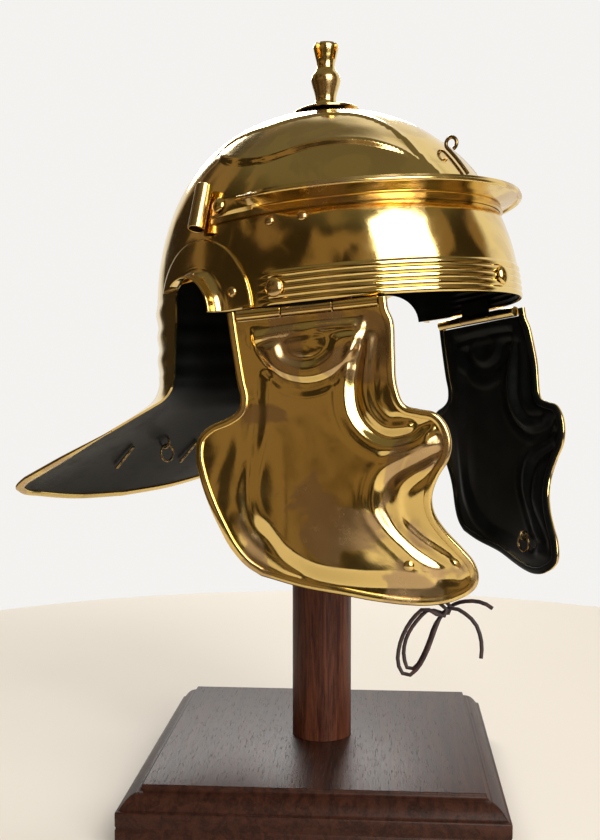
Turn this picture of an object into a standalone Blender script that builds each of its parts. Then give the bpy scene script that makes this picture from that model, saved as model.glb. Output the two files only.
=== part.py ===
"""Roman legionary helmet on a plain wooden stand.

Metres, +Z up, the helmet faces -Y, its wearer's left is +X. The origin is on the post's axis at the
underside of the base. The helmet is modelled in its own frame, whose origin is the middle of the brow rim,
and an empty sets that frame on the post, tilted back a little.
"""

import math

import bmesh
import bpy
import numpy as np
from mathutils import Matrix, Vector

# Stand
BASE_SIDE = 0.196
BASE_THICKNESS = 0.034
BASE_MOULDING = 0.013
BASE_TURN = math.radians(35.4)
POST_RADIUS = 0.019
POST_HEAD_SAG = 0.006
POST_SIDES = 20
# share of the moulding's reach, share of the base's thickness
BASE_PROFILE = (
    (0.00, 1.00),
    (0.02, 0.93),
    (0.14, 0.91),
    (0.38, 0.87),
    (0.62, 0.79),
    (0.80, 0.70),
    (0.86, 0.665),
    (1.00, 0.65),
    (1.00, 0.42),
    (0.95, 0.385),
    (1.00, 0.35),
    (1.00, 0.00),
)

# Place of the helmet's own frame
RIM_HEIGHT = 0.304
RIM_BEFORE_POST = 0.0122
HELMET_TILT = math.radians(5.4)

# Clearance kept between two pieces that touch on the real helmet, and how far facets sag
SEAT = 0.0003
SAG = 0.0003
SIDE_NAMES = {-1: "right", 1: "left"}

# Bowl
BOWL_FRONT = 0.119
BOWL_BACK = 0.125
BOWL_HALF_WIDTH = 0.1008
BOWL_HEIGHT = 0.1285
BOWL_LEAN = 0.009
BOWL_SHOULDER = 2.07
BOWL_CROWN = 2.36
SHEET = 0.0013
BAND_HEIGHT = 0.019
BAND_RIBS = 5
RIB_RISE = 0.0008
RIBS_END = math.radians(78)
NAPE_DROP = 0.042
NAPE_FLARE = 0.004
NAPE_RIBS = 4
NAPE_RIBS_TOP = 0.018
NAPE_RIB_RISE = 0.0016
EYEBROW_RISE = 0.0045
EYEBROW_STEP = 0.004
EYEBROW_ROWS = (0.58, 0.65, 0.69, 0.73, 0.77, 0.82, 0.88)
# angle from the front in degrees, lower edge and upper edge as shares of BOWL_HEIGHT
EYEBROW = (
    (18.5, 0.550, 0.560),
    (20.0, 0.575, 0.660),
    (22.5, 0.610, 0.790),
    (26.0, 0.645, 0.845),
    (34.0, 0.695, 0.880),
    (48.0, 0.727, 0.888),
    (61.0, 0.695, 0.868),
    (71.0, 0.665, 0.845),
    (83.0, 0.665, 0.825),
    (93.0, 0.700, 0.800),
    (101.0, 0.755, 0.765),
)

# Neck guard
GUARD_REACH = BOWL_BACK + 0.0905
GUARD_HALF_WIDTH = BOWL_HALF_WIDTH + 0.0027
GUARD_DROP = NAPE_DROP + 0.064
GUARD_SIDE_ANGLE = math.radians(115)
GUARD_SIDE_LEAN = math.radians(4)
GUARD_FILLET = 0.012
GUARD_EDGE_RADIUS = 0.0019
# where its columns stand from side edge to middle, and its rows from nape to edge
GUARD_COLUMNS = (0.0, 0.045, 0.12, 0.25, 0.40, 0.60, 0.80, 1.0)
GUARD_ROWS = (0.06, 0.14, 0.4, 0.7, 1.0)
# share of the way from side edge to middle, then shares of half width, reach and drop
GUARD_EDGE = (
    (0.00, 0.990, 0.900, 0.845),
    (0.045, 0.985, 0.931, 0.876),
    (0.12, 0.935, 0.953, 0.900),
    (0.40, 0.760, 0.972, 0.936),
    (0.70, 0.420, 0.993, 0.981),
    (1.00, 0.000, 1.000, 1.000),
)

# Ear openings and their flanged plates
EAR_FRONT = 0.0045
EAR_ARCH_BACK = 0.030
EAR_REAR = 0.0522
EAR_HEIGHT = 0.0217
EAR_CORNER = 0.006
EAR_BACK = 0.0275
EAR_RADIUS = 0.0235
EAR_PLATE_RADIUS = 0.0455
EAR_PLATE_END = 0.020
EAR_FLANGE = 0.0105
EAR_FLANGE_BEND = 0.007
PLATE = 0.0012

# Brow peak
PEAK_HEIGHT = 0.44 * BOWL_HEIGHT
PEAK_LIP = 0.0135
PEAK_RISE = 0.0052
PEAK_FLANGE = 0.0045
PEAK_TAB = 0.0095
PEAK_RIVET_BACK = 0.0090
PEAK_RIVET_HEIGHT = PEAK_HEIGHT + 0.0055
PEAK_SHEET = 0.0016
PEAK_END = math.radians(96)
PEAK_TAPER = math.radians(27)
PEAK_LIP_AT_END = 0.30

# Crest fittings
KNOB_BACK = -0.003
KNOB_HEIGHT = 0.040
KNOB_LEAN = math.radians(5.4)
KNOB_TOP_RADIUS = 0.0080
KNOB_WAIST_RADIUS = 0.0057
KNOB_BULGE_RADIUS = 0.0093
KNOB_NECK_RADIUS = 0.0065
KNOB_FOOT_RADIUS = 0.0095
# share of the knob's height, radius
KNOB_PROFILE = (
    (1.00, 0.90 * KNOB_TOP_RADIUS),
    (0.96, KNOB_TOP_RADIUS),
    (0.80, 0.85 * KNOB_TOP_RADIUS),
    (0.68, KNOB_WAIST_RADIUS),
    (0.60, 1.08 * KNOB_WAIST_RADIUS),
    (0.51, 0.92 * KNOB_BULGE_RADIUS),
    (0.44, KNOB_BULGE_RADIUS),
    (0.36, 0.94 * KNOB_BULGE_RADIUS),
    (0.24, 1.12 * KNOB_NECK_RADIUS),
    (0.14, KNOB_NECK_RADIUS),
    (0.06, 1.15 * KNOB_NECK_RADIUS),
    (0.00, KNOB_FOOT_RADIUS),
)
KNOB_SLIT_WIDTH = 0.0024
KNOB_SLIT_DEPTH = 0.010
DISC_RADIUS = 0.021
DISC_THICKNESS = 0.0035
DISC_RIM = 0.0008
HOOK_WIRE = 0.0011
HOOK_FOOT_HEIGHT = 0.545 * BOWL_HEIGHT
HOOK_TOP_HEIGHT = 0.677 * BOWL_HEIGHT
HOOK_EYE_RADIUS = 0.0036
PLUME_TUBE_RADIUS = 0.005
PLUME_TUBE_WALL = 0.0009
PLUME_TUBE_LENGTH = 0.028
PLUME_TUBE_HEIGHT = 0.4825 * BOWL_HEIGHT
PLUME_TUBE_BACK = 0.0215

# Rivets: height above the rim and distance behind the frame's origin
BAND_RIVET_RADIUS = 0.0056
BAND_RIVET_HEIGHT = BAND_HEIGHT / 2
SMALL_RIVET_RADIUS = 0.0030
BAND_RIVET_BACK = -0.0325
BOWL_RIVET_HEIGHT = PEAK_HEIGHT - 0.0087
BOWL_RIVETS_BACK = {"rear": -0.0278, "front": -0.0466}
EAR_RIVET_BACK = -0.0052
EAR_RIVET_HEIGHT = 0.0104
PEAK_RIVET_RADIUS = 0.0046
RIVET_RISE = 0.55

# Cheek pieces: hinge line, then the outline as shares of reach forward and of drop
HINGE_OUT = 0.9246 * BOWL_HALF_WIDTH
HINGE_BACK = -0.0478
HINGE_DROP = 0.0042
HINGE_TOE = math.radians(22)
HINGE_BARREL = 0.0032
HINGE_PIN = 0.0013
PIN_CLEARANCE = 0.0003
LEAF_FRONT = 0.0164
LEAF_REAR = -0.0125
LEAF_HEIGHT = 0.012
LEAF_SHEET = 0.0012
LEAF_INSET = 0.0004
BARREL_GAP = 0.0006
CHEEK_SHEET = 0.0012
CHEEK_TOP = 0.0028
OUTLINE_ABOVE_HINGE = 0.0019
CHEEK_REACH = 0.080
HINGE_FRONT = 0.525 * CHEEK_REACH
HINGE_REAR = -0.4875 * CHEEK_REACH
CHEEK_DROP = 0.1665
CHEEK_EDGE_RADIUS = 0.0021
REAR_EDGE = (
    (-0.550, 0.000),
    (-0.540, 0.072),
    (-0.508, 0.233),
    (-0.492, 0.284),
    (-0.513, 0.322),
    (-0.590, 0.346),
    (-0.720, 0.368),
    (-0.810, 0.405),
    (-0.832, 0.465),
    (-0.801, 0.534),
    (-0.741, 0.621),
    (-0.679, 0.702),
    (-0.615, 0.778),
    (-0.530, 0.838),
    (-0.430, 0.876),
)
BOTTOM_EDGE = (
    (-0.430, 0.876),
    (-0.170, 0.917),
    (0.125, 0.950),
    (0.333, 0.976),
    (0.545, 0.996),
    (0.690, 1.002),
    (0.830, 0.995),
    (0.944, 0.975),
)
FRONT_EDGE = (
    (0.590, 0.000),
    (0.596, 0.040),
    (0.626, 0.080),
    (0.630, 0.180),
    (0.630, 0.290),
    (0.668, 0.348),
    (0.766, 0.366),
    (0.860, 0.379),
    (0.925, 0.415),
    (0.953, 0.475),
    (0.925, 0.530),
    (0.845, 0.585),
    (0.792, 0.645),
    (0.795, 0.700),
    (0.850, 0.757),
    (0.940, 0.817),
    (1.010, 0.868),
    (1.030, 0.918),
    (1.005, 0.951),
    (0.944, 0.975),
)
CHEEK_REAR_FLARE = 0.010
CHEEK_CHIN_IN = 0.017
CHEEK_FRONT_FLARE = 0.005
CHEEK_FIELD_RISE = 0.0030
CHEEK_FIELD_INSET = 0.017
CHEEK_FIELD_TOP = 0.040
CHEEK_FIELD_SLOPE = 0.008
CHEEK_BOSS_RISE = 0.0045
CHEEK_BOSS_RADIUS = 0.034
CHEEK_BOSS_MIDDLE = (0.002, 0.008)
CHEEK_RIVET_AHEAD = 0.0468
CHEEK_RIVET_DROP = 0.1443

# Rings and handle
RING_RADIUS = 0.0050
RING_WIRE = 0.0008
EYE_RADIUS = 0.0026
EYE_WIRE = 0.0008
HANDLE_BACK = 0.1756
HANDLE_REACH = 0.027
HANDLE_RADIUS = 0.0020
HANDLE_FOOT = 0.0316
EYE_SPAN = 0.0040
PIN_WIRE = 0.0010
PIN_LEG = 0.012
GUARD_RING_BACK = 0.166
GUARD_RING_RADIUS = 0.0060
STAPLE_SPAN = 0.0045
STAPLE_DEPTH = 0.0045

# Thong: its diameter, and its route in the right cheek piece's frame (forward, down, outward)
THONG_RADIUS = 0.0011
THONG_OUTER_ROUTE = (
    (0.0440, 0.1503, -0.0126),
    (0.0440, 0.1513, -0.0153),
    (0.0449, 0.1538, -0.0171),
    (0.0484, 0.1578, -0.0186),
    (0.0535, 0.1617, -0.0201),
    (0.0585, 0.1660, -0.0205),
    (0.0630, 0.1698, -0.0204),
    (0.0628, 0.1732, -0.0194),
    (0.0580, 0.1722, -0.0180),
    (0.0517, 0.1689, -0.0179),
    (0.0451, 0.1737, -0.0179),
    (0.0395, 0.1812, -0.0179),
    (0.0358, 0.1896, -0.0180),
    (0.0344, 0.1980, -0.0183),
    (0.0362, 0.2040, -0.0187),
    (0.0400, 0.2054, -0.0190),
    (0.0454, 0.2010, -0.0191),
    (0.0511, 0.1919, -0.0191),
    (0.0556, 0.1818, -0.0196),
    (0.0590, 0.1743, -0.0224),
    (0.0630, 0.1704, -0.0234),
    (0.0676, 0.1700, -0.0226),
    (0.0733, 0.1730, -0.0211),
    (0.0780, 0.1778, -0.0203),
    (0.0803, 0.1845, -0.0200),
    (0.0807, 0.1910, -0.0197),
    (0.0799, 0.1965, -0.0194),
)
THONG_INNER_ROUTE = (
    (0.0473, 0.1502, -0.0127),
    (0.0474, 0.1511, -0.0156),
    (0.0485, 0.1535, -0.0192),
    (0.0514, 0.1575, -0.0223),
    (0.0555, 0.1618, -0.0243),
    (0.0602, 0.1655, -0.0258),
    (0.0642, 0.1692, -0.0264),
    (0.0636, 0.1728, -0.0261),
    (0.0586, 0.1726, -0.0254),
    (0.0527, 0.1706, -0.0236),
    (0.0468, 0.1752, -0.0220),
    (0.0412, 0.1822, -0.0211),
    (0.0380, 0.1896, -0.0210),
    (0.0374, 0.1970, -0.0212),
    (0.0394, 0.2028, -0.0217),
    (0.0436, 0.2012, -0.0219),
    (0.0481, 0.1946, -0.0220),
    (0.0519, 0.1869, -0.0226),
    (0.0548, 0.1796, -0.0254),
    (0.0584, 0.1748, -0.0286),
    (0.0626, 0.1708, -0.0294),
    (0.0672, 0.1681, -0.0274),
    (0.0730, 0.1666, -0.0250),
    (0.0790, 0.1665, -0.0234),
    (0.0840, 0.1679, -0.0224),
    (0.0877, 0.1703, -0.0218),
)

# Fineness of the faceted model
COLUMNS = 38
DOME_ROWS = 8
ROUND_SIDES = 12
RIVET_SIDES = 8


def clear_scene():
    for obj in list(bpy.data.objects):
        bpy.data.objects.remove(obj, do_unlink=True)


def collection(name, hidden=False):
    made = bpy.data.collections.new(name)
    bpy.context.scene.collection.children.link(made)
    made.hide_render = hidden
    return made


def material(name, colour, roughness, metallic):
    made = bpy.data.materials.new(name)
    made.use_nodes = True
    shader = made.node_tree.nodes["Principled BSDF"]
    shader.inputs["Base Color"].default_value = (*colour, 1.0)
    shader.inputs["Roughness"].default_value = roughness
    shader.inputs["Metallic"].default_value = metallic
    made.diffuse_color = (*colour, 1.0)
    return made


clear_scene()
PIECES = collection("roman_helmet_on_stand")
CUTTERS = collection("cutters", hidden=True)
BRASS = material("polished_brass", (0.78, 0.55, 0.20), 0.16, 1.0)
OLD_BRASS = material("darkened_brass", (0.42, 0.30, 0.12), 0.35, 1.0)
BLACK = material("black_paint", (0.012, 0.012, 0.013), 0.45, 0.0)
WOOD = material("dark_wood", (0.085, 0.028, 0.016), 0.32, 0.0)
LEATHER = material("brown_leather", (0.055, 0.026, 0.020), 0.6, 0.0)


def frame_empty(name, location, rotation=(0.0, 0.0, 0.0), parent=None):
    empty = bpy.data.objects.new(name, None)
    empty.empty_display_size = 0.02
    empty.location = location
    empty.rotation_euler = rotation
    empty.parent = parent
    PIECES.objects.link(empty)
    return empty


def piece(name, mesh, finish, parent, location=(0.0, 0.0, 0.0), rotation=None, into=None):
    obj = bpy.data.objects.new(name, mesh)
    obj.location = location
    if rotation is not None:
        obj.rotation_euler = rotation
    obj.parent = parent
    if finish is not None and not mesh.materials:
        mesh.materials.append(finish)
    (into or PIECES).objects.link(obj)
    return obj


def add_solidify(obj, thickness, inner=None):
    shell = obj.modifiers.new("wall", "SOLIDIFY")
    shell.thickness = thickness
    shell.offset = -1.0
    shell.use_even_offset = True
    if inner is not None:
        obj.data.materials.append(inner)
        shell.material_offset = 1
    return shell


def through(points, count):
    """Points at equal steps along a smooth curve through the given ones."""
    points = np.array(points, float)
    steps = np.sqrt(np.linalg.norm(np.diff(points, axis=0), axis=1))
    knots = np.concatenate([[0.0], np.cumsum(steps)])
    slopes = np.gradient(points, knots, axis=0)
    fine = []
    for i, span in enumerate(np.diff(knots)):
        for t in np.linspace(0.0, 1.0, 24, endpoint=False):
            a, b = points[i], points[i + 1]
            ta, tb = slopes[i] * span, slopes[i + 1] * span
            fine.append(
                (2 * t**3 - 3 * t**2 + 1) * a
                + (t**3 - 2 * t**2 + t) * ta
                + (3 * t**2 - 2 * t**3) * b
                + (t**3 - t**2) * tb
            )
    fine.append(points[-1])
    return evenly(np.array(fine), count)


def evenly(path, count):
    walked = np.concatenate([[0.0], np.cumsum(np.linalg.norm(np.diff(path, axis=0), axis=1))])
    at = np.linspace(0.0, walked[-1], count)
    return np.stack([np.interp(at, walked, path[:, k]) for k in range(path.shape[1])], axis=1)


def ease(x):
    x = np.clip(x, 0.0, 1.0)
    return x * x * (3.0 - 2.0 * x)


def sheet_mesh(name, rows, keep=None, flip=False):
    """An open surface through rows of points; keep(i, j) says which cells have a face."""
    mesh = bpy.data.meshes.new(name)
    bm = bmesh.new()
    made = {}

    def vertex(i, j):
        if (i, j) not in made:
            made[(i, j)] = bm.verts.new(rows[i][j])
        return made[(i, j)]

    for i in range(len(rows) - 1):
        for j in range(len(rows[i]) - 1):
            if keep is None or keep(i, j):
                corners = [vertex(i, j), vertex(i, j + 1), vertex(i + 1, j + 1), vertex(i + 1, j)]
                bm.faces.new(corners[::-1] if flip else corners)
    bmesh.ops.remove_doubles(bm, verts=bm.verts, dist=1e-6)
    bm.to_mesh(mesh)
    bm.free()
    mesh.shade_smooth()
    return mesh


def turned_mesh(name, profile):
    """The outline of a turned piece, from its top down its outer side."""
    mesh = bpy.data.meshes.new(name)
    bm = bmesh.new()
    verts = [bm.verts.new((r, 0.0, z)) for r, z in profile]
    for a, b in zip(verts, verts[1:]):
        bm.edges.new((a, b))
    bm.to_mesh(mesh)
    bm.free()
    return mesh


def turn(obj, sides):
    screw = obj.modifiers.new("turn", "SCREW")
    screw.steps = sides
    screw.render_steps = sides
    screw.use_merge_vertices = True
    screw.merge_threshold = 0.00001
    screw.use_normal_calculate = False
    return screw


def tube_profile(outer, inner, low, high):
    return [(inner, high), (outer, high), (outer, low), (inner, low), (inner, high)]


def wire_mesh(name, points, radius, cyclic=False, resolution=1):
    """A round wire along the points, as a welded mesh."""
    data = bpy.data.curves.new(name, "CURVE")
    data.dimensions = "3D"
    data.bevel_depth = radius
    data.bevel_resolution = resolution
    data.use_fill_caps = True
    spline = data.splines.new("POLY")
    spline.points.add(len(points) - 1)
    for point, co in zip(spline.points, points):
        point.co = (*co, 1.0)
    spline.use_cyclic_u = cyclic
    guide = bpy.data.objects.new(name, data)
    PIECES.objects.link(guide)
    graph = bpy.context.evaluated_depsgraph_get()
    mesh = bpy.data.meshes.new_from_object(guide.evaluated_get(graph))
    bm = bmesh.new()
    bm.from_mesh(mesh)
    bmesh.ops.remove_doubles(bm, verts=bm.verts, dist=1e-6)
    bm.to_mesh(mesh)
    bm.free()
    bpy.data.objects.remove(guide, do_unlink=True)
    mesh.name = name
    mesh.shade_smooth()
    return mesh


# The bowl's surface, in the helmet's frame


def level(z):
    """Scale of the bowl's oval and its shift rearwards at a height above the rim."""
    share = np.clip(z / BOWL_HEIGHT, 0.0, 1.0)
    scale = (1.0 - share**BOWL_SHOULDER) ** (1.0 / BOWL_CROWN)
    return scale, BOWL_LEAN * share**2


def on_nape(angle):
    return abs(angle) > GUARD_SIDE_ANGLE - 1e-6


def bowl_point(angle, z):
    """A point of the smooth bowl at an angle from the front, positive to the wearer's left."""
    scale, shift = level(z)
    below = np.clip(-z / NAPE_DROP, 0.0, 1.0)
    if on_nape(angle):
        lean = (math.pi - abs(angle)) / (math.pi - GUARD_SIDE_ANGLE) * GUARD_SIDE_LEAN * below
        angle += math.copysign(lean, angle)
    flare = NAPE_FLARE * below
    length = BOWL_FRONT if math.cos(angle) > 0 else BOWL_BACK + flare
    return np.array(
        [BOWL_HALF_WIDTH * scale * math.sin(angle), shift - length * scale * math.cos(angle), z]
    )


def bowl_side(back, z):
    """Half width of the smooth bowl at a distance behind the origin and a height."""
    scale, shift = level(z)
    length = BOWL_BACK if back > shift else BOWL_FRONT
    return BOWL_HALF_WIDTH * math.sqrt(max(scale**2 - ((back - shift) / length) ** 2, 0.0))


def bowl_normal(angle, z):
    if z > BOWL_HEIGHT * 0.995:
        return np.array([0.0, 0.0, 1.0])
    step = 1e-4
    along = bowl_point(angle + step, z) - bowl_point(angle - step, z)
    up = bowl_point(angle, z + step) - bowl_point(angle, z - step)
    normal = np.cross(along, up)
    return normal / np.linalg.norm(normal)


def eyebrow_relief(angle, z):
    degrees = abs(math.degrees(angle))
    angles, lows, tops = zip(*EYEBROW)
    if not angles[0] < degrees < angles[-1]:
        return 0.0
    low = np.interp(degrees, angles, lows) * BOWL_HEIGHT
    top = np.interp(degrees, angles, tops) * BOWL_HEIGHT
    rise = ease((z - low) / EYEBROW_STEP)
    fall = 1.0 - np.clip((z - low) / max(top - low, 1e-6), 0.0, 1.0)
    return EYEBROW_RISE * rise * fall * min((top - low) / (2 * EYEBROW_STEP), 1.0)


def band_relief(angle, z):
    if abs(angle) > RIBS_END or not 0.0 < z < BAND_HEIGHT:
        return 0.0
    return RIB_RISE * math.sin(math.pi * BAND_RIBS * z / BAND_HEIGHT) ** 2


def nape_relief(angle, z):
    if not on_nape(angle) or not -NAPE_DROP < z < NAPE_RIBS_TOP:
        return 0.0
    share = (NAPE_RIBS_TOP - z) / (NAPE_RIBS_TOP + NAPE_DROP)
    fade = ease((abs(angle) - GUARD_SIDE_ANGLE) / math.radians(10))
    return fade * NAPE_RIB_RISE * math.sin(math.pi * NAPE_RIBS * share) ** 2


def bowl_surface(angle, z):
    relief = eyebrow_relief(angle, z) + band_relief(angle, z) + nape_relief(angle, z)
    return bowl_point(angle, z) + relief * bowl_normal(angle, z)


def guard_edge(angle):
    """Where the neck guard's edge lies in the direction of a column of the bowl."""
    share = (abs(angle) - GUARD_SIDE_ANGLE) / (math.pi - GUARD_SIDE_ANGLE)
    shares, widths, reaches, drops = zip(*GUARD_EDGE)
    width = np.interp(share, shares, widths) * GUARD_HALF_WIDTH
    return np.array(
        [
            math.copysign(width, angle),
            np.interp(share, shares, reaches) * GUARD_REACH,
            -np.interp(share, shares, drops) * GUARD_DROP,
        ]
    )


def guard_point(angle, share):
    """From the foot of the nape to the guard's edge, with a hollow bend between them."""
    start = bowl_point(angle, GUARD_FILLET - NAPE_DROP)
    corner = bowl_point(angle, -NAPE_DROP)
    edge = guard_edge(angle)
    bend = GUARD_FILLET / np.linalg.norm(edge - corner)
    turned = corner + bend * (edge - corner)
    if share < bend:
        t = share / bend
        return (1 - t) ** 2 * start + 2 * t * (1 - t) * corner + t**2 * turned
    return corner + share * (edge - corner)


def guard_height(x, back):
    """Height of the guard's upper face near its middle line."""
    angle = math.pi - abs(x) / GUARD_HALF_WIDTH * (math.pi - GUARD_SIDE_ANGLE)
    near, far = guard_point(angle, 0.25), guard_point(angle, 1.0)
    return near[2] + (back - near[1]) / (far[1] - near[1]) * (far[2] - near[2])


def guard_columns():
    """Angles of the columns that run down the nape into the neck guard, from left to right."""
    half = [GUARD_SIDE_ANGLE + share * (math.pi - GUARD_SIDE_ANGLE) for share in GUARD_COLUMNS]
    return half + [2 * math.pi - angle for angle in half[-2::-1]]


def column_angles():
    """Columns round the bowl, with one on each side edge of the neck guard."""
    behind = guard_columns()
    ahead = COLUMNS - len(behind) + 1
    front = np.linspace(-GUARD_SIDE_ANGLE, GUARD_SIDE_ANGLE, ahead + 1)
    return list(front) + behind[1:], ahead


def make_bowl(helmet):
    angles, ahead = column_angles()
    turned = [a if a <= math.pi else a - 2 * math.pi for a in angles]
    scales = [math.sin(0.5 * math.pi * i / DOME_ROWS) for i in range(DOME_ROWS)]
    heights = [BOWL_HEIGHT * (1 - s**BOWL_CROWN) ** (1 / BOWL_SHOULDER) for s in scales]
    brows = [share * BOWL_HEIGHT for share in EYEBROW_ROWS]
    low, high = min(brows) - 0.6 * EYEBROW_STEP, max(brows) + 0.6 * EYEBROW_STEP
    plain = [z for z in heights if z > BAND_HEIGHT * 1.4 and not low < z < high]
    heights = sorted(plain + brows, reverse=True)
    ribs = [BAND_HEIGHT * (1 - i / (2 * BAND_RIBS)) for i in range(2 * BAND_RIBS + 1)]
    nape = np.linspace(0.0, GUARD_FILLET - NAPE_DROP, 6)[1:]
    rows = [[bowl_surface(a, z) for a in turned] for z in heights + ribs]
    upper = len(rows) - 1
    rows += [[bowl_surface(a, z) for a in turned] for z in nape]
    for share in GUARD_ROWS:
        rows.append([guard_point(a, share) if on_nape(a) else bowl_point(a, 0.0) for a in turned])

    def keep(i, j):
        return i < upper or j >= ahead

    mesh = sheet_mesh("bowl", rows, keep, flip=True)
    bowl = piece("bowl", mesh, BRASS, helmet)
    add_solidify(bowl, SHEET, inner=BLACK)
    arch = bowl.modifiers.new("ear_openings", "BOOLEAN")
    arch.operation = "DIFFERENCE"
    arch.object = make_ear_cutter(helmet)
    return bowl


def ear_outline():
    """Side view of an ear opening: a round front, a flat top and a tight rear corner."""
    quarter = [0.5 * math.pi * i / (ROUND_SIDES // 2) for i in range(ROUND_SIDES // 2 + 1)]
    arch = EAR_ARCH_BACK - EAR_FRONT
    outline = [(EAR_FRONT, -EAR_CORNER)]
    outline += [(EAR_ARCH_BACK - arch * math.cos(t), EAR_HEIGHT * math.sin(t)) for t in quarter]
    corner = (EAR_REAR - 1.3 * EAR_CORNER, EAR_HEIGHT - EAR_CORNER)
    outline += [
        (corner[0] + EAR_CORNER * math.sin(t), corner[1] + EAR_CORNER * math.cos(t)) for t in quarter[::2]
    ]
    outline += [(EAR_REAR, 0.0), (EAR_REAR, -EAR_CORNER)]
    return outline


def make_ear_cutter(helmet):
    """The ear opening's outline, drawn through both walls of the bowl."""
    outline = ear_outline()
    mesh = bpy.data.meshes.new("ear_cutter")
    bm = bmesh.new()
    reach = BOWL_HALF_WIDTH * 1.3
    ring = [bm.verts.new((-reach, y, z)) for y, z in outline]
    face = bm.faces.new(ring)
    swept = bmesh.ops.extrude_face_region(bm, geom=[face])
    far = [v for v in swept["geom"] if isinstance(v, bmesh.types.BMVert)]
    bmesh.ops.translate(bm, verts=far, vec=(2 * reach, 0, 0))
    bmesh.ops.recalc_face_normals(bm, faces=bm.faces)
    bm.to_mesh(mesh)
    bm.free()
    cutter = piece("ear_cutter", mesh, None, helmet, into=CUTTERS)
    cutter.hide_render = True
    cutter.display_type = "WIRE"
    return cutter


def bowl_angle(back, z):
    """Angle of the bowl's column at a distance behind the origin, on the wearer's left."""
    scale, shift = level(z)
    length = BOWL_BACK if back > shift else BOWL_FRONT
    return math.acos(max(-1.0, min(1.0, -(back - shift) / (length * scale))))


def seat(angle, z, lift):
    """Place and turn of a piece that stands on the bowl with its own +Z outward."""
    normal = Vector(bowl_normal(angle, z))
    place = Vector(bowl_surface(angle, z)) + lift * normal
    return place, normal.to_track_quat("Z", "Y").to_euler()


def make_peak(helmet):
    """An angled strip: a foot against the bowl and a lip that stands out, flat tabs at its ends."""
    rows = []
    for angle in np.linspace(-PEAK_END, PEAK_END, 25):
        full = ease((PEAK_END - abs(angle)) / PEAK_TAPER)
        lip = PEAK_LIP * (PEAK_LIP_AT_END * full + (1 - PEAK_LIP_AT_END) * full**2)
        rise = PEAK_RISE * full + PEAK_TAB * (1 - full)
        foot = bowl_point(angle, PEAK_HEIGHT - PEAK_FLANGE)
        bend = bowl_point(angle, PEAK_HEIGHT)
        edge = bowl_point(angle, PEAK_HEIGHT + rise * (1 - full)) + np.array([0.0, 0.0, rise * full])
        out = bowl_normal(angle, PEAK_HEIGHT)
        flat = np.array([out[0], out[1], 0.0]) / np.hypot(out[0], out[1])
        skin = SEAT + PEAK_SHEET
        points = [foot + skin * out, bend + skin * out]
        points += [bend + (edge - bend) * 0.5 + (skin + 0.5 * lip) * flat, edge + (skin + lip) * flat]
        rows.append(points)
    peak = piece("brow_peak", sheet_mesh("brow_peak", rows, flip=True), BRASS, helmet)
    add_solidify(peak, PEAK_SHEET)


def make_ear_guard(side, helmet):
    """A flat plate on the bowl round the ear's arch, whose inner edge turns outward."""
    bend = EAR_RADIUS + EAR_FLANGE_BEND
    flat = [EAR_PLATE_RADIUS + (bend - EAR_PLATE_RADIUS) * t for t in (0.0, 0.5, 1.0)]
    curve = [0.5 * math.pi * i / 3 for i in range(1, 4)]
    rings = [(r, 0.0) for r in flat]
    rings += [(bend - EAR_FLANGE_BEND * math.sin(t), EAR_FLANGE_BEND * (1 - math.cos(t))) for t in curve]
    rings.append((EAR_RADIUS, EAR_FLANGE))
    rows = []
    for share in np.linspace(0.0, 1.0, 12):
        row = []
        for radius, out in rings:
            turn_end = math.pi - math.asin(min(EAR_PLATE_END / radius, 1.0))
            t = share * turn_end
            back, z = EAR_BACK - radius * math.cos(t), radius * math.sin(t)
            row.append((side * (bowl_side(back, z) + SEAT + PLATE + out), back, z))
        rows.append(row)
    name = f"ear_guard_{SIDE_NAMES[side]}"
    guard = piece(name, sheet_mesh(name, rows, flip=side < 0), BRASS, helmet)
    add_solidify(guard, PLATE)


def rivet_mesh(name, radius):
    """A low dome on a flat base."""
    rise = RIVET_RISE * radius
    turns = [0.5 * math.pi * i / 3 for i in range(4)]
    profile = [(radius * math.sin(t), rise * math.cos(t)) for t in turns] + [(0.0, 0.0)]
    return turned_mesh(name, profile)


def make_rivets(helmet):
    small = rivet_mesh("small_rivet", SMALL_RIVET_RADIUS)
    large = rivet_mesh("large_rivet", BAND_RIVET_RADIUS)
    end = rivet_mesh("peak_rivet", PEAK_RIVET_RADIUS)
    over_tab = PEAK_SHEET + 2 * SEAT + SAG
    for side in (-1, 1):
        word = SIDE_NAMES[side]
        rows = (
            (f"band_rivet_{word}", large, BAND_RIVET_BACK, BAND_RIVET_HEIGHT, SEAT),
            (f"bowl_rivet_rear_{word}", small, BOWL_RIVETS_BACK["rear"], BOWL_RIVET_HEIGHT, SEAT),
            (f"bowl_rivet_front_{word}", small, BOWL_RIVETS_BACK["front"], BOWL_RIVET_HEIGHT, SEAT),
            (f"ear_guard_rivet_{word}", small, EAR_RIVET_BACK, EAR_RIVET_HEIGHT, PLATE + 2 * SEAT),
            (f"peak_rivet_{word}", end, PEAK_RIVET_BACK, PEAK_RIVET_HEIGHT, over_tab),
        )
        for name, mesh, back, height, lift in rows:
            place, turned = seat(side * bowl_angle(back, height), height, lift)
            turn(piece(name, mesh, BRASS, helmet, place, turned), RIVET_SIDES)
    place, turned = seat(0.0, BAND_RIVET_HEIGHT, SEAT)
    turn(piece("band_rivet_front", large, BRASS, helmet, place, turned), RIVET_SIDES)


def crown_height(back):
    """Height of the bowl's outside on its middle line, near the crown."""
    share = abs(back - BOWL_LEAN) / (BOWL_FRONT if back < BOWL_LEAN else BOWL_BACK)
    return BOWL_HEIGHT * (1 - share**BOWL_CROWN) ** (1 / BOWL_SHOULDER)


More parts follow.
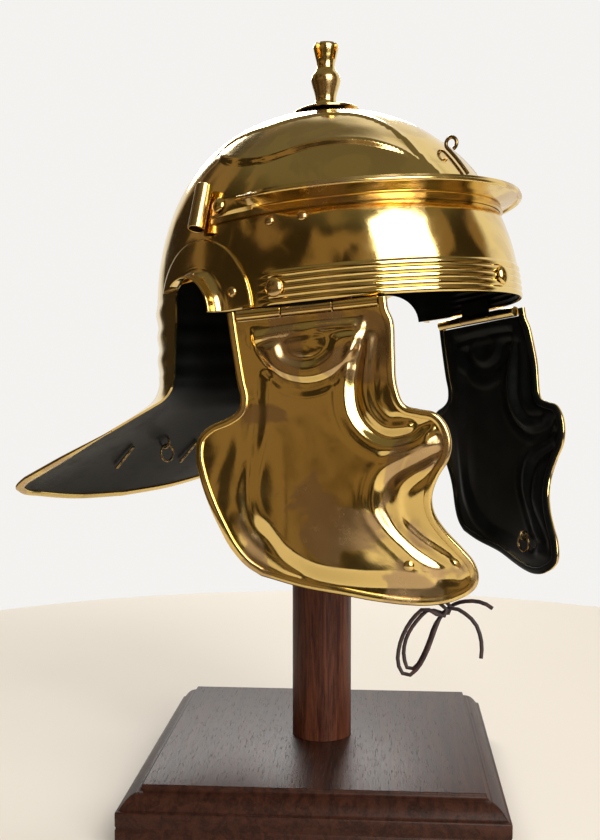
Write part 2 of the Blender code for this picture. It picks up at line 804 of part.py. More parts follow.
def box_cutter(name, size, place, rotation, parent):
    bpy.ops.mesh.primitive_cube_add(size=1.0)
    cutter = bpy.context.object
    cutter.name = name
    cutter.data.transform(Matrix.Diagonal((*size, 1.0)))
    cutter.location = place
    cutter.rotation_euler = rotation
    cutter.parent = parent
    for owner in list(cutter.users_collection):
        owner.objects.unlink(cutter)
    CUTTERS.objects.link(cutter)
    cutter.hide_render = True
    cutter.display_type = "WIRE"
    return cutter


def cut(obj, name, cutter):
    change = obj.modifiers.new(name, "BOOLEAN")
    change.operation = "DIFFERENCE"
    change.object = cutter


def make_knob(helmet):
    seat_height = BOWL_HEIGHT + SEAT
    rounds = [0.5 * math.pi * i / 4 for i in range(5)]
    dome = [(DISC_RADIUS * math.sin(t), DISC_RIM + (DISC_THICKNESS - DISC_RIM) * math.cos(t)) for t in rounds]
    disc = turned_mesh("knob_disc", dome + [(DISC_RADIUS, 0.0), (0.0, 0.0)])
    turn(piece("knob_disc", disc, BRASS, helmet, (0.0, KNOB_BACK, seat_height)), 18)
    foot = seat_height + DISC_THICKNESS
    profile = [(0.0, KNOB_HEIGHT)]
    profile += [(radius, share * KNOB_HEIGHT) for share, radius in KNOB_PROFILE]
    profile += [(KNOB_FOOT_RADIUS, -KNOB_FOOT_RADIUS / 2), (0.0, -KNOB_FOOT_RADIUS / 2)]
    upright = (KNOB_LEAN, 0.0, 0.0)
    place = (0.0, KNOB_BACK, foot)
    knob = piece("crest_knob", turned_mesh("crest_knob", profile), BRASS, helmet, place, upright)
    turn(knob, ROUND_SIDES)
    stand = frame_empty("knob_frame", place, upright, helmet)
    depth = 2 * KNOB_SLIT_DEPTH
    across = 4 * KNOB_TOP_RADIUS
    slits = {"slit_along": (KNOB_SLIT_WIDTH, across, depth), "slit_across": (across, KNOB_SLIT_WIDTH, depth)}
    for name, size in slits.items():
        cut(knob, name, box_cutter(f"{name}_cutter", size, (0, 0, KNOB_HEIGHT), (0, 0, 0), stand))
    block = 4 * DISC_RADIUS
    below = (0, KNOB_BACK, foot + SEAT - block / 2)
    cut(knob, "foot", box_cutter("foot_cutter", (block, block, block), below, (0, 0, 0), helmet))


def make_hook(helmet):
    """A wire up the middle of the brow that ends in an open eye."""
    lift = HOOK_WIRE + 2 * SEAT
    heights = np.linspace(HOOK_FOOT_HEIGHT, HOOK_TOP_HEIGHT, 5)
    stem = [bowl_point(0.0, z) + lift * bowl_normal(0.0, z) for z in heights]
    out = bowl_normal(0.0, HOOK_TOP_HEIGHT)
    up = np.cross((1.0, 0.0, 0.0), out)
    up = up if up[2] > 0 else -up
    centre = stem[-1] + HOOK_EYE_RADIUS * out
    turns = np.radians(np.linspace(30, 290, 10))
    eye = [centre + HOOK_EYE_RADIUS * (math.sin(t) * up - math.cos(t) * out) for t in turns]
    piece("crest_hook", wire_mesh("crest_hook", stem + eye, HOOK_WIRE), OLD_BRASS, helmet)


def make_plume_tube(side, helmet):
    half = PLUME_TUBE_LENGTH / 2
    lift = PLUME_TUBE_RADIUS + SEAT
    ends = []
    for z in (PLUME_TUBE_HEIGHT - half, PLUME_TUBE_HEIGHT + half):
        angle = side * bowl_angle(PLUME_TUBE_BACK, z)
        ends.append(Vector(bowl_point(angle, z)) + lift * Vector(bowl_normal(angle, z)))
    bulge = side * bowl_angle(PLUME_TUBE_BACK, PLUME_TUBE_HEIGHT)
    middle = Vector(bowl_point(bulge, PLUME_TUBE_HEIGHT))
    middle += lift * Vector(bowl_normal(bulge, PLUME_TUBE_HEIGHT))
    turned = (ends[1] - ends[0]).to_track_quat("Z", "Y").to_euler()
    name = f"plume_tube_{SIDE_NAMES[side]}"
    profile = tube_profile(PLUME_TUBE_RADIUS, PLUME_TUBE_RADIUS - PLUME_TUBE_WALL, -half, half)
    turn(piece(name, turned_mesh(name, profile), BRASS, helmet, middle, turned), ROUND_SIDES)


# The cheek pieces, in a frame on the hinge's axis: +X outward, +Z up, Y along the hinge


def cheek_form(forward, down):
    """How far the sheet stands outward of its flat plane, without its embossing."""
    ahead, below = forward / CHEEK_REACH, down / CHEEK_DROP
    rear = CHEEK_REAR_FLARE * ease((-ahead - 0.19) / 0.56) * math.exp(-(((below - 0.65) / 0.23) ** 2))
    chin = CHEEK_CHIN_IN * ease((below - 0.57) / 0.36) * ease((ahead + 0.125) / 1.125)
    front = CHEEK_FRONT_FLARE * ease((ahead - 0.25) / 0.35) * math.exp(-(((below - 0.25) / 0.145) ** 2))
    return rear + front - chin


def cheek_outline():
    """Rear, bottom and front edges, as fine paths of (forward, down)."""
    size = np.array([CHEEK_REACH, CHEEK_DROP])
    return [through(np.array(edge) * size, 200) for edge in (REAR_EDGE, BOTTOM_EDGE, FRONT_EDGE)]


def inset(path, distance):
    """The path moved to its left, looking along it."""
    along = np.gradient(path, axis=0)
    along /= np.linalg.norm(along, axis=1)[:, None]
    return path + distance * np.stack([-along[:, 1], along[:, 0]], axis=1)


def cheek_chain(distance):
    """Rear edge down, bottom edge forward and front edge up, moved in by a distance."""
    rear, bottom, front = cheek_outline()
    whole = np.concatenate([rear, bottom[1:], front[::-1][1:]])
    return inset(evenly(whole, 600), -distance)


def cheek_emboss(forward, down, edge_distance):
    """A raised field inside a trough, and a half-round boss under the hinge."""
    slope = CHEEK_FIELD_SLOPE
    field = CHEEK_FIELD_RISE * ease((edge_distance - CHEEK_FIELD_INSET + slope) / slope)
    field *= ease((down - CHEEK_FIELD_TOP) / (1.5 * slope))
    ahead, below = CHEEK_BOSS_MIDDLE
    reach = math.hypot(forward - ahead, down - below)
    boss = CHEEK_BOSS_RISE * ease((CHEEK_BOSS_RADIUS - reach) / slope)
    return max(field, boss * ease((down - below) / slope + 0.25))


def cheek_local(side, forward, down, out):
    return np.array([HINGE_BARREL + out, -side * forward, OUTLINE_ABOVE_HINGE - down])


def cheek_patch(columns, rows, distance):
    """Points of (forward, down) that fill the outline moved in by a distance."""
    chain = cheek_chain(distance)
    turns = [np.argmin(np.linalg.norm(chain - np.array(corner) * (CHEEK_REACH, CHEEK_DROP), axis=1))
             for corner in (REAR_EDGE[-1], FRONT_EDGE[-1])]
    rear = chain[: turns[0] + 1]
    bottom = evenly(chain[turns[0] : turns[1] + 1], columns)
    front = chain[turns[1] :][::-1]
    top = CHEEK_TOP + OUTLINE_ABOVE_HINGE
    rear = evenly(rear[rear[:, 1] > top], rows)
    front = evenly(front[front[:, 1] > top], rows)
    crest = rear[0] + np.linspace(0.0, 1.0, columns)[:, None] * (front[0] - rear[0])
    patch = []
    for i, t in enumerate(np.linspace(0.0, 1.0, rows)):
        row = []
        for j, s in enumerate(np.linspace(0.0, 1.0, columns)):
            sides = (1 - s) * rear[i] + s * front[i] + (1 - t) * crest[j] + t * bottom[j]
            corners = (1 - s) * (1 - t) * rear[0] + s * (1 - t) * front[0]
            corners = corners + (1 - s) * t * bottom[0] + s * t * bottom[-1]
            row.append(sides - corners)
        patch.append(row)
    return patch


def make_cheek(side, hinge):
    word = SIDE_NAMES[side]
    name = f"cheek_{word}"
    outline = cheek_chain(0.0)
    rows = []
    for line in cheek_patch(11, 19, 2 * CHEEK_EDGE_RADIUS + SEAT + 2 * SAG):
        row = []
        for forward, down in line:
            distance = np.linalg.norm(outline - (forward, down), axis=1).min()
            out = cheek_form(forward, down) + cheek_emboss(forward, down, distance)
            row.append(cheek_local(side, forward, down, out))
        rows.append(row)
    cheek = piece(name, sheet_mesh(name, rows, flip=side < 0), BRASS, hinge)
    add_solidify(cheek, CHEEK_SHEET, inner=BLACK)
    path = evenly(cheek_chain(CHEEK_EDGE_RADIUS), 56)
    wire = [cheek_local(side, u, v, cheek_form(u, v) - CHEEK_SHEET / 2) for u, v in path]
    name = f"cheek_edging_{word}"
    piece(name, wire_mesh(name, wire, CHEEK_EDGE_RADIUS), BRASS, hinge)


def hinge_tube(name, low, high, hole, finish, hinge, side):
    """A barrel of the hinge between two places along it."""
    ends = sorted((-side * low, -side * high))
    mesh = turned_mesh(name, tube_profile(HINGE_BARREL, hole, *ends))
    obj = piece(name, mesh, finish, hinge, rotation=(-math.pi / 2, 0.0, 0.0))
    turn(obj, ROUND_SIDES)
    return obj


def make_hinge(side, hinge, fixed):
    word = SIDE_NAMES[side]
    hole = HINGE_PIN + PIN_CLEARANCE
    hinge_tube(f"cheek_barrel_rear_{word}", HINGE_REAR, LEAF_REAR - BARREL_GAP, hole, BRASS, hinge, side)
    ahead = LEAF_FRONT + BARREL_GAP
    hinge_tube(f"cheek_barrel_front_{word}", ahead, HINGE_FRONT, hole, BRASS, hinge, side)
    leaf = hinge_tube(f"hinge_leaf_{word}", LEAF_REAR, LEAF_FRONT, hole, BRASS, fixed, side)
    width = LEAF_FRONT - LEAF_REAR
    bottom = hole + 0.4 * (HINGE_BARREL - hole)
    size = (LEAF_SHEET, width, LEAF_HEIGHT - bottom)
    along = -side * (LEAF_REAR + LEAF_FRONT) / 2
    middle = (-0.5 * LEAF_SHEET - LEAF_INSET, along, (LEAF_HEIGHT + bottom) / 2)
    plate = box_cutter(f"leaf_plate_{word}", size, middle, (0, 0, 0), fixed)
    joined = leaf.modifiers.new("plate", "BOOLEAN")
    joined.operation = "UNION"
    joined.object = plate
    length = HINGE_FRONT - HINGE_REAR
    bpy.ops.mesh.primitive_cylinder_add(vertices=ROUND_SIDES, radius=HINGE_PIN, depth=length)
    place = (0, -side * (HINGE_FRONT + HINGE_REAR) / 2, 0)
    adopt(f"hinge_pin_{word}", OLD_BRASS, fixed, place, (math.pi / 2, 0, 0))


def adopt(name, finish, parent, place, rotation=(0.0, 0.0, 0.0)):
    """Takes the primitive that was just added as a piece."""
    obj = bpy.context.object
    obj.name = name
    obj.data.name = name
    obj.data.materials.append(finish)
    obj.data.shade_smooth()
    obj.data.set_sharp_from_angle(angle=math.radians(40))
    obj.location = place
    obj.rotation_euler = rotation
    obj.parent = parent
    for owner in list(obj.users_collection):
        owner.objects.unlink(obj)
    PIECES.objects.link(obj)
    return obj


def make_cheek_ring(side, hinge):
    """The dome rivet outside, and inside it an eye with a loose ring for the thong."""
    word = SIDE_NAMES[side]
    u, v = CHEEK_RIVET_AHEAD, CHEEK_RIVET_DROP
    step = 0.002
    base = cheek_local(side, u, v, cheek_form(u, v) + CHEEK_FIELD_RISE)
    ahead = cheek_local(side, u + step, v, cheek_form(u + step, v) + CHEEK_FIELD_RISE)
    below = cheek_local(side, u, v + step, cheek_form(u, v + step) + CHEEK_FIELD_RISE)
    out = Vector(np.cross(ahead - base, below - base)).normalized()
    if out.x < 0:
        out = -out
    base = Vector(base)
    turned = out.to_track_quat("Z", "Y").to_euler()
    dome = rivet_mesh(f"cheek_rivet_{word}", SMALL_RIVET_RADIUS)
    turn(piece(f"cheek_rivet_{word}", dome, BRASS, hinge, base + 2 * SEAT * out, turned), RIVET_SIDES)
    inner = base - (CHEEK_SHEET + 2 * SEAT + EYE_RADIUS + EYE_WIRE) * out
    torus(f"cheek_eye_{word}", EYE_RADIUS, EYE_WIRE, 8, hinge, inner, (math.pi / 2, 0, 0))
    drop = RING_RADIUS - EYE_RADIUS + RING_WIRE + EYE_WIRE + SEAT
    centre = inner + Vector((-EYE_RADIUS * 0.2, 0.0, -drop - EYE_RADIUS * 0.2))
    torus(f"cheek_ring_{word}", RING_RADIUS, RING_WIRE, ROUND_SIDES, hinge, centre, (0, math.pi / 2, 0))


def make_thong(side, hinge):
    for name, route in (("thong_outer_loop", THONG_OUTER_ROUTE), ("thong_inner_loop", THONG_INNER_ROUTE)):
        path = through(route, 32)
        wire = [cheek_local(side, u, v, w) for u, v, w in path]
        piece(name, wire_mesh(name, wire, THONG_RADIUS, resolution=2), LEATHER, hinge)


def guard_rim():
    """Points along the guard's free edge with the direction that leads off the sheet."""
    side, span = GUARD_SIDE_ANGLE, math.pi - GUARD_SIDE_ANGLE
    edge = [(guard_point(side, share), guard_point(side + 0.3 * span, share)) for share in GUARD_ROWS[2:-1]]
    edge += [
        (guard_point(side + share * span, 1.0), guard_point(side + (0.2 + 0.8 * share) * span, 0.8))
        for share in GUARD_COLUMNS
    ]
    edge += [(outer * (-1, 1, 1), inner * (-1, 1, 1)) for outer, inner in edge[-2::-1]]
    points = np.array([outer for outer, _ in edge])
    away = np.array([outer - inner for outer, inner in edge])
    steps = np.diff(points, axis=0)
    steps /= np.linalg.norm(steps, axis=1)[:, None]
    offsets = []
    for i, lead in enumerate(away):
        before, after = steps[max(i - 1, 0)], steps[min(i, len(steps) - 1)]
        along = (before + after) / np.linalg.norm(before + after)
        lead = lead - lead.dot(along) * along
        offsets.append(lead / np.linalg.norm(lead) / math.sqrt((1 + before.dot(after)) / 2))
    return points, np.array(offsets)


def make_guard_edging(helmet):
    points, away = guard_rim()
    path = points + (GUARD_EDGE_RADIUS + SEAT) * away
    path[:, 2] -= SHEET / 2
    piece("guard_edging", wire_mesh("guard_edging", path, GUARD_EDGE_RADIUS), BRASS, helmet)


def guard_slope():
    """Slope of the neck guard near its middle."""
    low, high = HANDLE_BACK - 0.02, HANDLE_BACK + 0.02
    return math.atan2(guard_height(0, high) - guard_height(0, low), high - low)


def handle_path():
    """A bow in the guard's plane: feet that point outward through the pins' eyes, arms and a grip."""
    half, reach = HANDLE_FOOT, HANDLE_REACH
    right = [
        (-half + EYE_SPAN, 0.0),
        (-half + 1.6 * EYE_SPAN, 0.08 * reach),
        (-0.72 * half, 0.55 * reach),
        (-0.62 * half, 0.86 * reach),
        (-0.42 * half, reach),
    ]
    corners = right + [(-x, y) for x, y in right[::-1]]
    bow = [(x, -y, 0.0) for x, y in through(corners, 19)]
    return [(-half - EYE_SPAN, 0.0, 0.0)] + bow + [(half + EYE_SPAN, 0.0, 0.0)]


def torus(name, radius, wire, sides, parent, place, rotation):
    bpy.ops.mesh.primitive_torus_add(
        major_radius=radius, minor_radius=wire, major_segments=sides, minor_segments=6
    )
    return adopt(name, OLD_BRASS, parent, place, rotation)


def make_guard_fittings(helmet):
    """The carrying handle in the eyes of two split pins, and beneath the guard a staple with its ring."""
    slope = guard_slope()
    up = Vector((0.0, -math.sin(slope), math.cos(slope)))
    eye = HANDLE_RADIUS + 2 * PIN_CLEARANCE + PIN_WIRE
    foot = guard_height(HANDLE_FOOT, HANDLE_BACK)
    pivot = Vector((0.0, HANDLE_BACK, foot)) + (eye + PIN_WIRE + SEAT + SAG) * up
    frame = frame_empty("handle_hinge", pivot, (slope, 0.0, 0.0), helmet)
    handle = wire_mesh("guard_handle", handle_path(), HANDLE_RADIUS)
    piece("guard_handle", handle, BRASS, frame)
    for side in (-1, 1):
        across = Vector((side * HANDLE_FOOT, 0.0, 0.0))
        name = SIDE_NAMES[side]
        torus(f"handle_pin_eye_{name}", eye, PIN_WIRE, 12, helmet, pivot + across, (slope, math.pi / 2, 0.0))
        place = Vector((side * HANDLE_FOOT, HANDLE_BACK, foot)) - (SHEET + PIN_WIRE + SEAT) * up
        pins = frame_empty(f"handle_pin_frame_{name}", place, (slope, 0.0, 0.0), helmet)
        legs = [(0.0, -PIN_LEG, 0.0), (0.0, 0.0, 0.0), (0.0, PIN_LEG, 0.0)]
        name = f"handle_pin_legs_{name}"
        piece(name, wire_mesh(name, legs, PIN_WIRE), OLD_BRASS, pins)
    under = Vector((0.0, GUARD_RING_BACK, guard_height(0, GUARD_RING_BACK) - SHEET))
    staple = frame_empty("staple_frame", under - (SEAT + SAG) * up, (slope, 0.0, 0.0), helmet)
    turns = np.radians(np.linspace(0, -180, 7))
    arch = [(0.0, STAPLE_SPAN * math.cos(t), STAPLE_DEPTH * math.sin(t)) for t in turns]
    piece("guard_staple", wire_mesh("guard_staple", arch, RING_WIRE), OLD_BRASS, staple)
    hang = under - (STAPLE_DEPTH + SAG - 2 * RING_WIRE) * up - Vector((0, 0, GUARD_RING_RADIUS))
    torus("guard_ring", GUARD_RING_RADIUS, RING_WIRE, 14, helmet, hang, (math.pi / 2, 0.0, 0.0))


def make_stand():
    half, moulding, thick = BASE_SIDE / 2, BASE_MOULDING, BASE_THICKNESS
    diagonal = math.sqrt(2)
    profile = [(0.0, thick)]
    profile += [((half + out * moulding) * diagonal, high * thick) for out, high in BASE_PROFILE]
    profile += [(0.0, 0.0)]
    turned = (0, 0, BASE_TURN + math.pi / 4)
    turn(piece("stand_base", turned_mesh("stand_base", profile), WOOD, None, rotation=turned), 4)
    tall = post_top()
    head = [0.5 * math.pi * i / 4 for i in range(5)]
    profile = [(POST_RADIUS * math.sin(t), tall - POST_HEAD_SAG * (1 - math.cos(t))) for t in head]
    profile += [(POST_RADIUS, thick + SEAT), (0.0, thick + SEAT)]
    turn(piece("stand_post", turned_mesh("stand_post", profile), WOOD, None), POST_SIDES)


def post_top():
    """Height at which the post's round head meets the inside of the tilted crown."""
    tilt_cos, tilt_sin = math.cos(HELMET_TILT), math.sin(HELMET_TILT)
    rise = BOWL_HEIGHT
    for _ in range(20):
        back = RIM_BEFORE_POST * tilt_cos - rise * tilt_sin
        inside = crown_height(back) - SHEET - 2 * SEAT
        rise = (inside - RIM_BEFORE_POST * tilt_sin) / tilt_cos
    return RIM_HEIGHT + rise


def build():
    helmet = frame_empty("helmet_frame", (0.0, -RIM_BEFORE_POST, RIM_HEIGHT), (-HELMET_TILT, 0.0, 0.0))
    make_bowl(helmet)
    make_peak(helmet)
    make_knob(helmet)
    make_hook(helmet)
    make_rivets(helmet)
    for side in (-1, 1):
        make_ear_guard(side, helmet)
        make_plume_tube(side, helmet)
        turned = math.pi + HINGE_TOE if side < 0 else -HINGE_TOE
        place = (
            side * (HINGE_OUT - HINGE_BARREL * math.cos(HINGE_TOE)),
            HINGE_BACK + HINGE_BARREL * math.sin(HINGE_TOE),
            -HINGE_DROP,
        )
        hinge = frame_empty(f"cheek_hinge_{SIDE_NAMES[side]}", place, (0.0, 0.0, turned), helmet)
        fixed = frame_empty(f"hinge_leaf_frame_{SIDE_NAMES[side]}", place, (0.0, 0.0, turned), helmet)
        make_cheek(side, hinge)
        make_hinge(side, hinge, fixed)
        make_cheek_ring(side, hinge)
        if side < 0:
            make_thong(side, hinge)
    make_guard_edging(helmet)
    make_guard_fittings(helmet)
    make_stand()


build()
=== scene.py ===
"""Looks of the roman legionary helmet on its wooden stand.

Each sheet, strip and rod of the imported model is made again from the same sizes, finer, and stands for its
node. Helmet pieces are made in the helmet's own frame, and cheek pieces in a frame on their hinge, with +X
outward and +Z up.
"""

import math

import bmesh
import bpy
import numpy as np
from mathutils import Matrix, Vector


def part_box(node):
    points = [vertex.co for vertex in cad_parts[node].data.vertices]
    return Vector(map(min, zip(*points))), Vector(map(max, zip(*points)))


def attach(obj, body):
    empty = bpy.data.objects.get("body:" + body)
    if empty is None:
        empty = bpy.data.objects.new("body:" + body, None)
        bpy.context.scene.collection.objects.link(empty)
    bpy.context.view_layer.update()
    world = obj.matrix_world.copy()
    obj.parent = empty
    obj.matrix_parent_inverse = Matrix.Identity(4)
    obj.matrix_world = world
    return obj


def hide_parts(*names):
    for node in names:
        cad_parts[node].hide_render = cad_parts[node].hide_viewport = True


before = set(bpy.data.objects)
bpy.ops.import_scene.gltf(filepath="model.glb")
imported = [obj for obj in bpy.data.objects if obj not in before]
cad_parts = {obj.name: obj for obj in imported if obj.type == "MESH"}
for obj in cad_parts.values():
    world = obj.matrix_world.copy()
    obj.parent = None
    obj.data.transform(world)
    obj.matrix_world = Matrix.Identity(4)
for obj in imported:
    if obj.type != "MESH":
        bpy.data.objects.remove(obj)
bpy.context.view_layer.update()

# Place of the helmet on its post
RIM_HEIGHT = 0.304
RIM_BEFORE_POST = 0.0122
HELMET_TILT = math.radians(5.4)
SEAT = 0.0003
SAG = 0.0003
SIDES = {-1: "right", 1: "left"}

# Bowl
BOWL_FRONT = 0.119
BOWL_BACK = 0.125
BOWL_HALF_WIDTH = 0.1008
BOWL_HEIGHT = 0.1285
BOWL_LEAN = 0.009
BOWL_SHOULDER = 2.07
BOWL_CROWN = 2.36
SHEET = 0.0013
BAND_HEIGHT = 0.019
BAND_RIBS = 5
RIB_RISE = 0.0008
RIBS_END = math.radians(78)
NAPE_DROP = 0.042
NAPE_FLARE = 0.004
NAPE_RIBS = 4
NAPE_RIBS_TOP = 0.018
NAPE_RIB_RISE = 0.0009
EYEBROW_RISE = 0.0034
EYEBROW_STEP = 0.0032
EYEBROW_HOLLOW = 0.0010
EYEBROW_DEGREE = 0.00145
# angle from the front in degrees, share of the bowl's height
EYEBROW_LOW = (
    (108.5, 0.802), (104.7, 0.754), (94.8, 0.699), (85.5, 0.669), (77.2, 0.660), (69.6, 0.673),
    (62.1, 0.690), (54.8, 0.697), (47.4, 0.694), (40.4, 0.683), (33.7, 0.661), (27.2, 0.629),
    (22.3, 0.583), (17.5, 0.535),
)
EYEBROW_TOP = (
    (108.5, 0.802), (105.0, 0.838), (95.7, 0.857), (82.8, 0.861), (72.5, 0.876), (61.5, 0.886),
    (53.1, 0.890), (40.9, 0.884), (32.6, 0.866), (26.6, 0.830), (23.3, 0.782), (21.4, 0.709),
    (20.3, 0.628), (19.0, 0.575), (17.5, 0.535),
)

# Neck guard
GUARD_REACH = BOWL_BACK + 0.0905
GUARD_HALF_WIDTH = BOWL_HALF_WIDTH + 0.0027
GUARD_DROP = NAPE_DROP + 0.064
GUARD_SIDE_ANGLE = math.radians(115)
GUARD_SIDE_LEAN = math.radians(4)
GUARD_FILLET = 0.012
GUARD_EDGE_RADIUS = 0.0019
# Folded strips: how far they reach in over the sheet, half their thickness, their lip
GUARD_FOLD = (0.0016, 0.00165, 0.0010)
CHEEK_FOLD = (0.0024, 0.0019, 0.0012)
# share of the way from side edge to middle, then shares of half width, reach and drop
GUARD_EDGE = (
    (0.00, 0.990, 0.900, 0.845), (0.045, 0.985, 0.931, 0.876), (0.12, 0.935, 0.953, 0.900),
    (0.40, 0.760, 0.972, 0.936), (0.70, 0.420, 0.993, 0.981), (1.00, 0.000, 1.000, 1.000),
)

# Ear openings and their plates
EAR_FRONT = 0.0045
EAR_ARCH_BACK = 0.030
EAR_REAR = 0.0522
EAR_HEIGHT = 0.0217
EAR_CORNER = 0.006
EAR_BACK = 0.0275
EAR_RADIUS = 0.0235
EAR_PLATE_RADIUS = 0.0455
EAR_PLATE_END = 0.020
EAR_FLANGE = 0.0105
EAR_FLANGE_BEND = 0.007
PLATE = 0.0012

# Brow peak
PEAK_HEIGHT = 0.44 * BOWL_HEIGHT
PEAK_LIP = 0.0135
PEAK_RISE = 0.0052
PEAK_FLANGE = 0.0045
PEAK_TAB = 0.0095
PEAK_SHEET = 0.0016
PEAK_BEAD = 0.0013
PEAK_END = math.radians(96)
PEAK_TAPER = math.radians(27)
PEAK_LIP_AT_END = 0.30
PEAK_BEADED_FROM = 0.0022

# Crest fittings
KNOB_BACK = -0.003
KNOB_HEIGHT = 0.040
KNOB_LEAN = math.radians(5.4)
KNOB_TOP_RADIUS = 0.0080
KNOB_WAIST_RADIUS = 0.0057
KNOB_BULGE_RADIUS = 0.0093
KNOB_NECK_RADIUS = 0.0065
KNOB_FOOT_RADIUS = 0.0095
# share of the knob's height, radius
KNOB_PROFILE = (
    (1.00, 0.90 * KNOB_TOP_RADIUS),
    (0.96, KNOB_TOP_RADIUS),
    (0.80, 0.85 * KNOB_TOP_RADIUS),
    (0.68, KNOB_WAIST_RADIUS),
    (0.60, 1.08 * KNOB_WAIST_RADIUS),
    (0.51, 0.92 * KNOB_BULGE_RADIUS),
    (0.44, KNOB_BULGE_RADIUS),
    (0.36, 0.94 * KNOB_BULGE_RADIUS),
    (0.24, 1.12 * KNOB_NECK_RADIUS),
    (0.14, KNOB_NECK_RADIUS),
    (0.06, 1.15 * KNOB_NECK_RADIUS),
    (0.00, KNOB_FOOT_RADIUS),
)
KNOB_SLIT_WIDTH = 0.0024
KNOB_SLIT_DEPTH = 0.010
DISC_RADIUS = 0.021
DISC_THICKNESS = 0.0035
DISC_RIM = 0.0008
HOOK_WIRE = 0.0011
HOOK_FOOT_HEIGHT = 0.545 * BOWL_HEIGHT
HOOK_TOP_HEIGHT = 0.677 * BOWL_HEIGHT
HOOK_EYE_RADIUS = 0.0036
PLUME_TUBE_RADIUS = 0.005
PLUME_TUBE_WALL = 0.0009
PLUME_TUBE_LENGTH = 0.028
PLUME_TUBE_HEIGHT = 0.4825 * BOWL_HEIGHT
PLUME_TUBE_BACK = 0.0215

BAND_RIVET_RADIUS = 0.0056
# Rivets: distance behind the frame's origin, height above the rim, radius of the head, lift off the bowl
RIVETS = {
    "band_rivet": (-0.0325, BAND_HEIGHT / 2, BAND_RIVET_RADIUS, SEAT),
    "bowl_rivet_rear": (-0.0278, PEAK_HEIGHT - 0.0087, 0.0030, SEAT),
    "bowl_rivet_front": (-0.0466, PEAK_HEIGHT - 0.0087, 0.0030, SEAT),
    "ear_guard_rivet": (-0.0052, 0.0104, 0.0030, PLATE + 2 * SEAT),
    "peak_rivet": (0.0090, PEAK_HEIGHT + 0.0055, 0.0046, PEAK_SHEET + 2 * SEAT + SAG),
}
RIVET_RISE = 0.55

# Cheek pieces
HINGE_OUT = 0.9246 * BOWL_HALF_WIDTH
HINGE_BACK = -0.0478
HINGE_DROP = 0.0042
HINGE_TOE = math.radians(22)
HINGE_BARREL = 0.0032
HINGE_PIN = 0.0013
PIN_CLEARANCE = 0.0003
LEAF_FRONT = 0.0164
LEAF_REAR = -0.0125
LEAF_HEIGHT = 0.012
LEAF_SHEET = 0.0012
LEAF_INSET = 0.0004
BARREL_GAP = 0.0006
CHEEK_SHEET = 0.0012
CHEEK_TOP = 0.0028
OUTLINE_ABOVE_HINGE = 0.0019
CHEEK_REACH = 0.080
HINGE_FRONT = 0.525 * CHEEK_REACH
HINGE_REAR = -0.4875 * CHEEK_REACH
CHEEK_DROP = 0.1665
CHEEK_EDGE_RADIUS = 0.0021
REAR_EDGE = (
    (-0.550, 0.000), (-0.540, 0.072), (-0.508, 0.233), (-0.492, 0.284), (-0.513, 0.322),
    (-0.590, 0.346), (-0.720, 0.368), (-0.810, 0.405), (-0.832, 0.465), (-0.801, 0.534),
    (-0.741, 0.621), (-0.679, 0.702), (-0.615, 0.778), (-0.530, 0.838), (-0.430, 0.876),
)
BOTTOM_EDGE = (
    (-0.430, 0.876), (-0.170, 0.917), (0.125, 0.950), (0.333, 0.976), (0.545, 0.996), (0.690, 1.002),
    (0.830, 0.995), (0.944, 0.975),
)
FRONT_EDGE = (
    (0.590, 0.000), (0.596, 0.040), (0.626, 0.080), (0.630, 0.180), (0.630, 0.290), (0.668, 0.348),
    (0.766, 0.366), (0.860, 0.379), (0.925, 0.415), (0.953, 0.475), (0.925, 0.530), (0.845, 0.585),
    (0.792, 0.645), (0.795, 0.700), (0.850, 0.757), (0.940, 0.817), (1.010, 0.868), (1.030, 0.918),
    (1.005, 0.951), (0.944, 0.975),
)
CHEEK_REAR_FLARE = 0.010
CHEEK_CHIN_IN = 0.017
CHEEK_FRONT_FLARE = 0.005
CHEEK_FIELD_RISE = 0.0030
CHEEK_INSET = 0.0022
CHEEK_PLAIN_RIM = 0.004
CHEEK_RIM_SLOPE = 0.003
CHEEK_RIVET_RADIUS = 0.0030
CHEEK_RIVET_AHEAD = 0.0468
CHEEK_RIVET_DROP = 0.1443
# Embossing, in millimetres forward and down from the middle of the hinge
FIELD = (
    (-24, 37), (-27, 61), (-32, 84), (-34, 101), (-32, 114), (-27, 122), (-19, 134), (-5, 143),
    (15, 148), (37, 151), (58, 151), (52, 141), (45, 133), (37, 123), (32, 113), (32, 104), (36, 95),
    (44, 89), (55, 85), (64, 80), (64, 75), (55, 78), (44, 80), (35, 77), (27, 70), (22, 60), (22, 43),
    (24, 36), (11, 44), (0, 46), (-12, 43), (-20, 36),
)
CRESCENT = (
    (-23, 21), (-19, 33), (-12, 41), (0, 44), (11, 42), (21, 37), (29, 27), (30, 19), (19, 19),
    (14, 27), (5, 32), (-4, 32), (-13, 27), (-16, 20),
)
FRONT_RIB = ((27, 27), (22, 43), (22, 60), (27, 70), (35, 77), (44, 80), (55, 78), (67, 72))
FRONT_RIB_OUTER = ((36, 22), (33, 39), (32, 52), (35, 62), (42, 69), (54, 70))
CHIN_RIB = (
    (68, 79), (55, 85), (44, 89), (36, 95), (32, 104), (32, 113), (37, 123), (45, 133), (52, 141), (62, 147),
    (72, 149),
)
CHIN_RIB_OUTER = ((66, 90), (54, 95), (47, 101), (44, 111), (45, 121), (51, 129), (60, 137), (70, 145))
REAR_CREASE = ((-33, 54), (-36, 76), (-42, 100), (-40, 120), (-30, 133), (-14, 147))

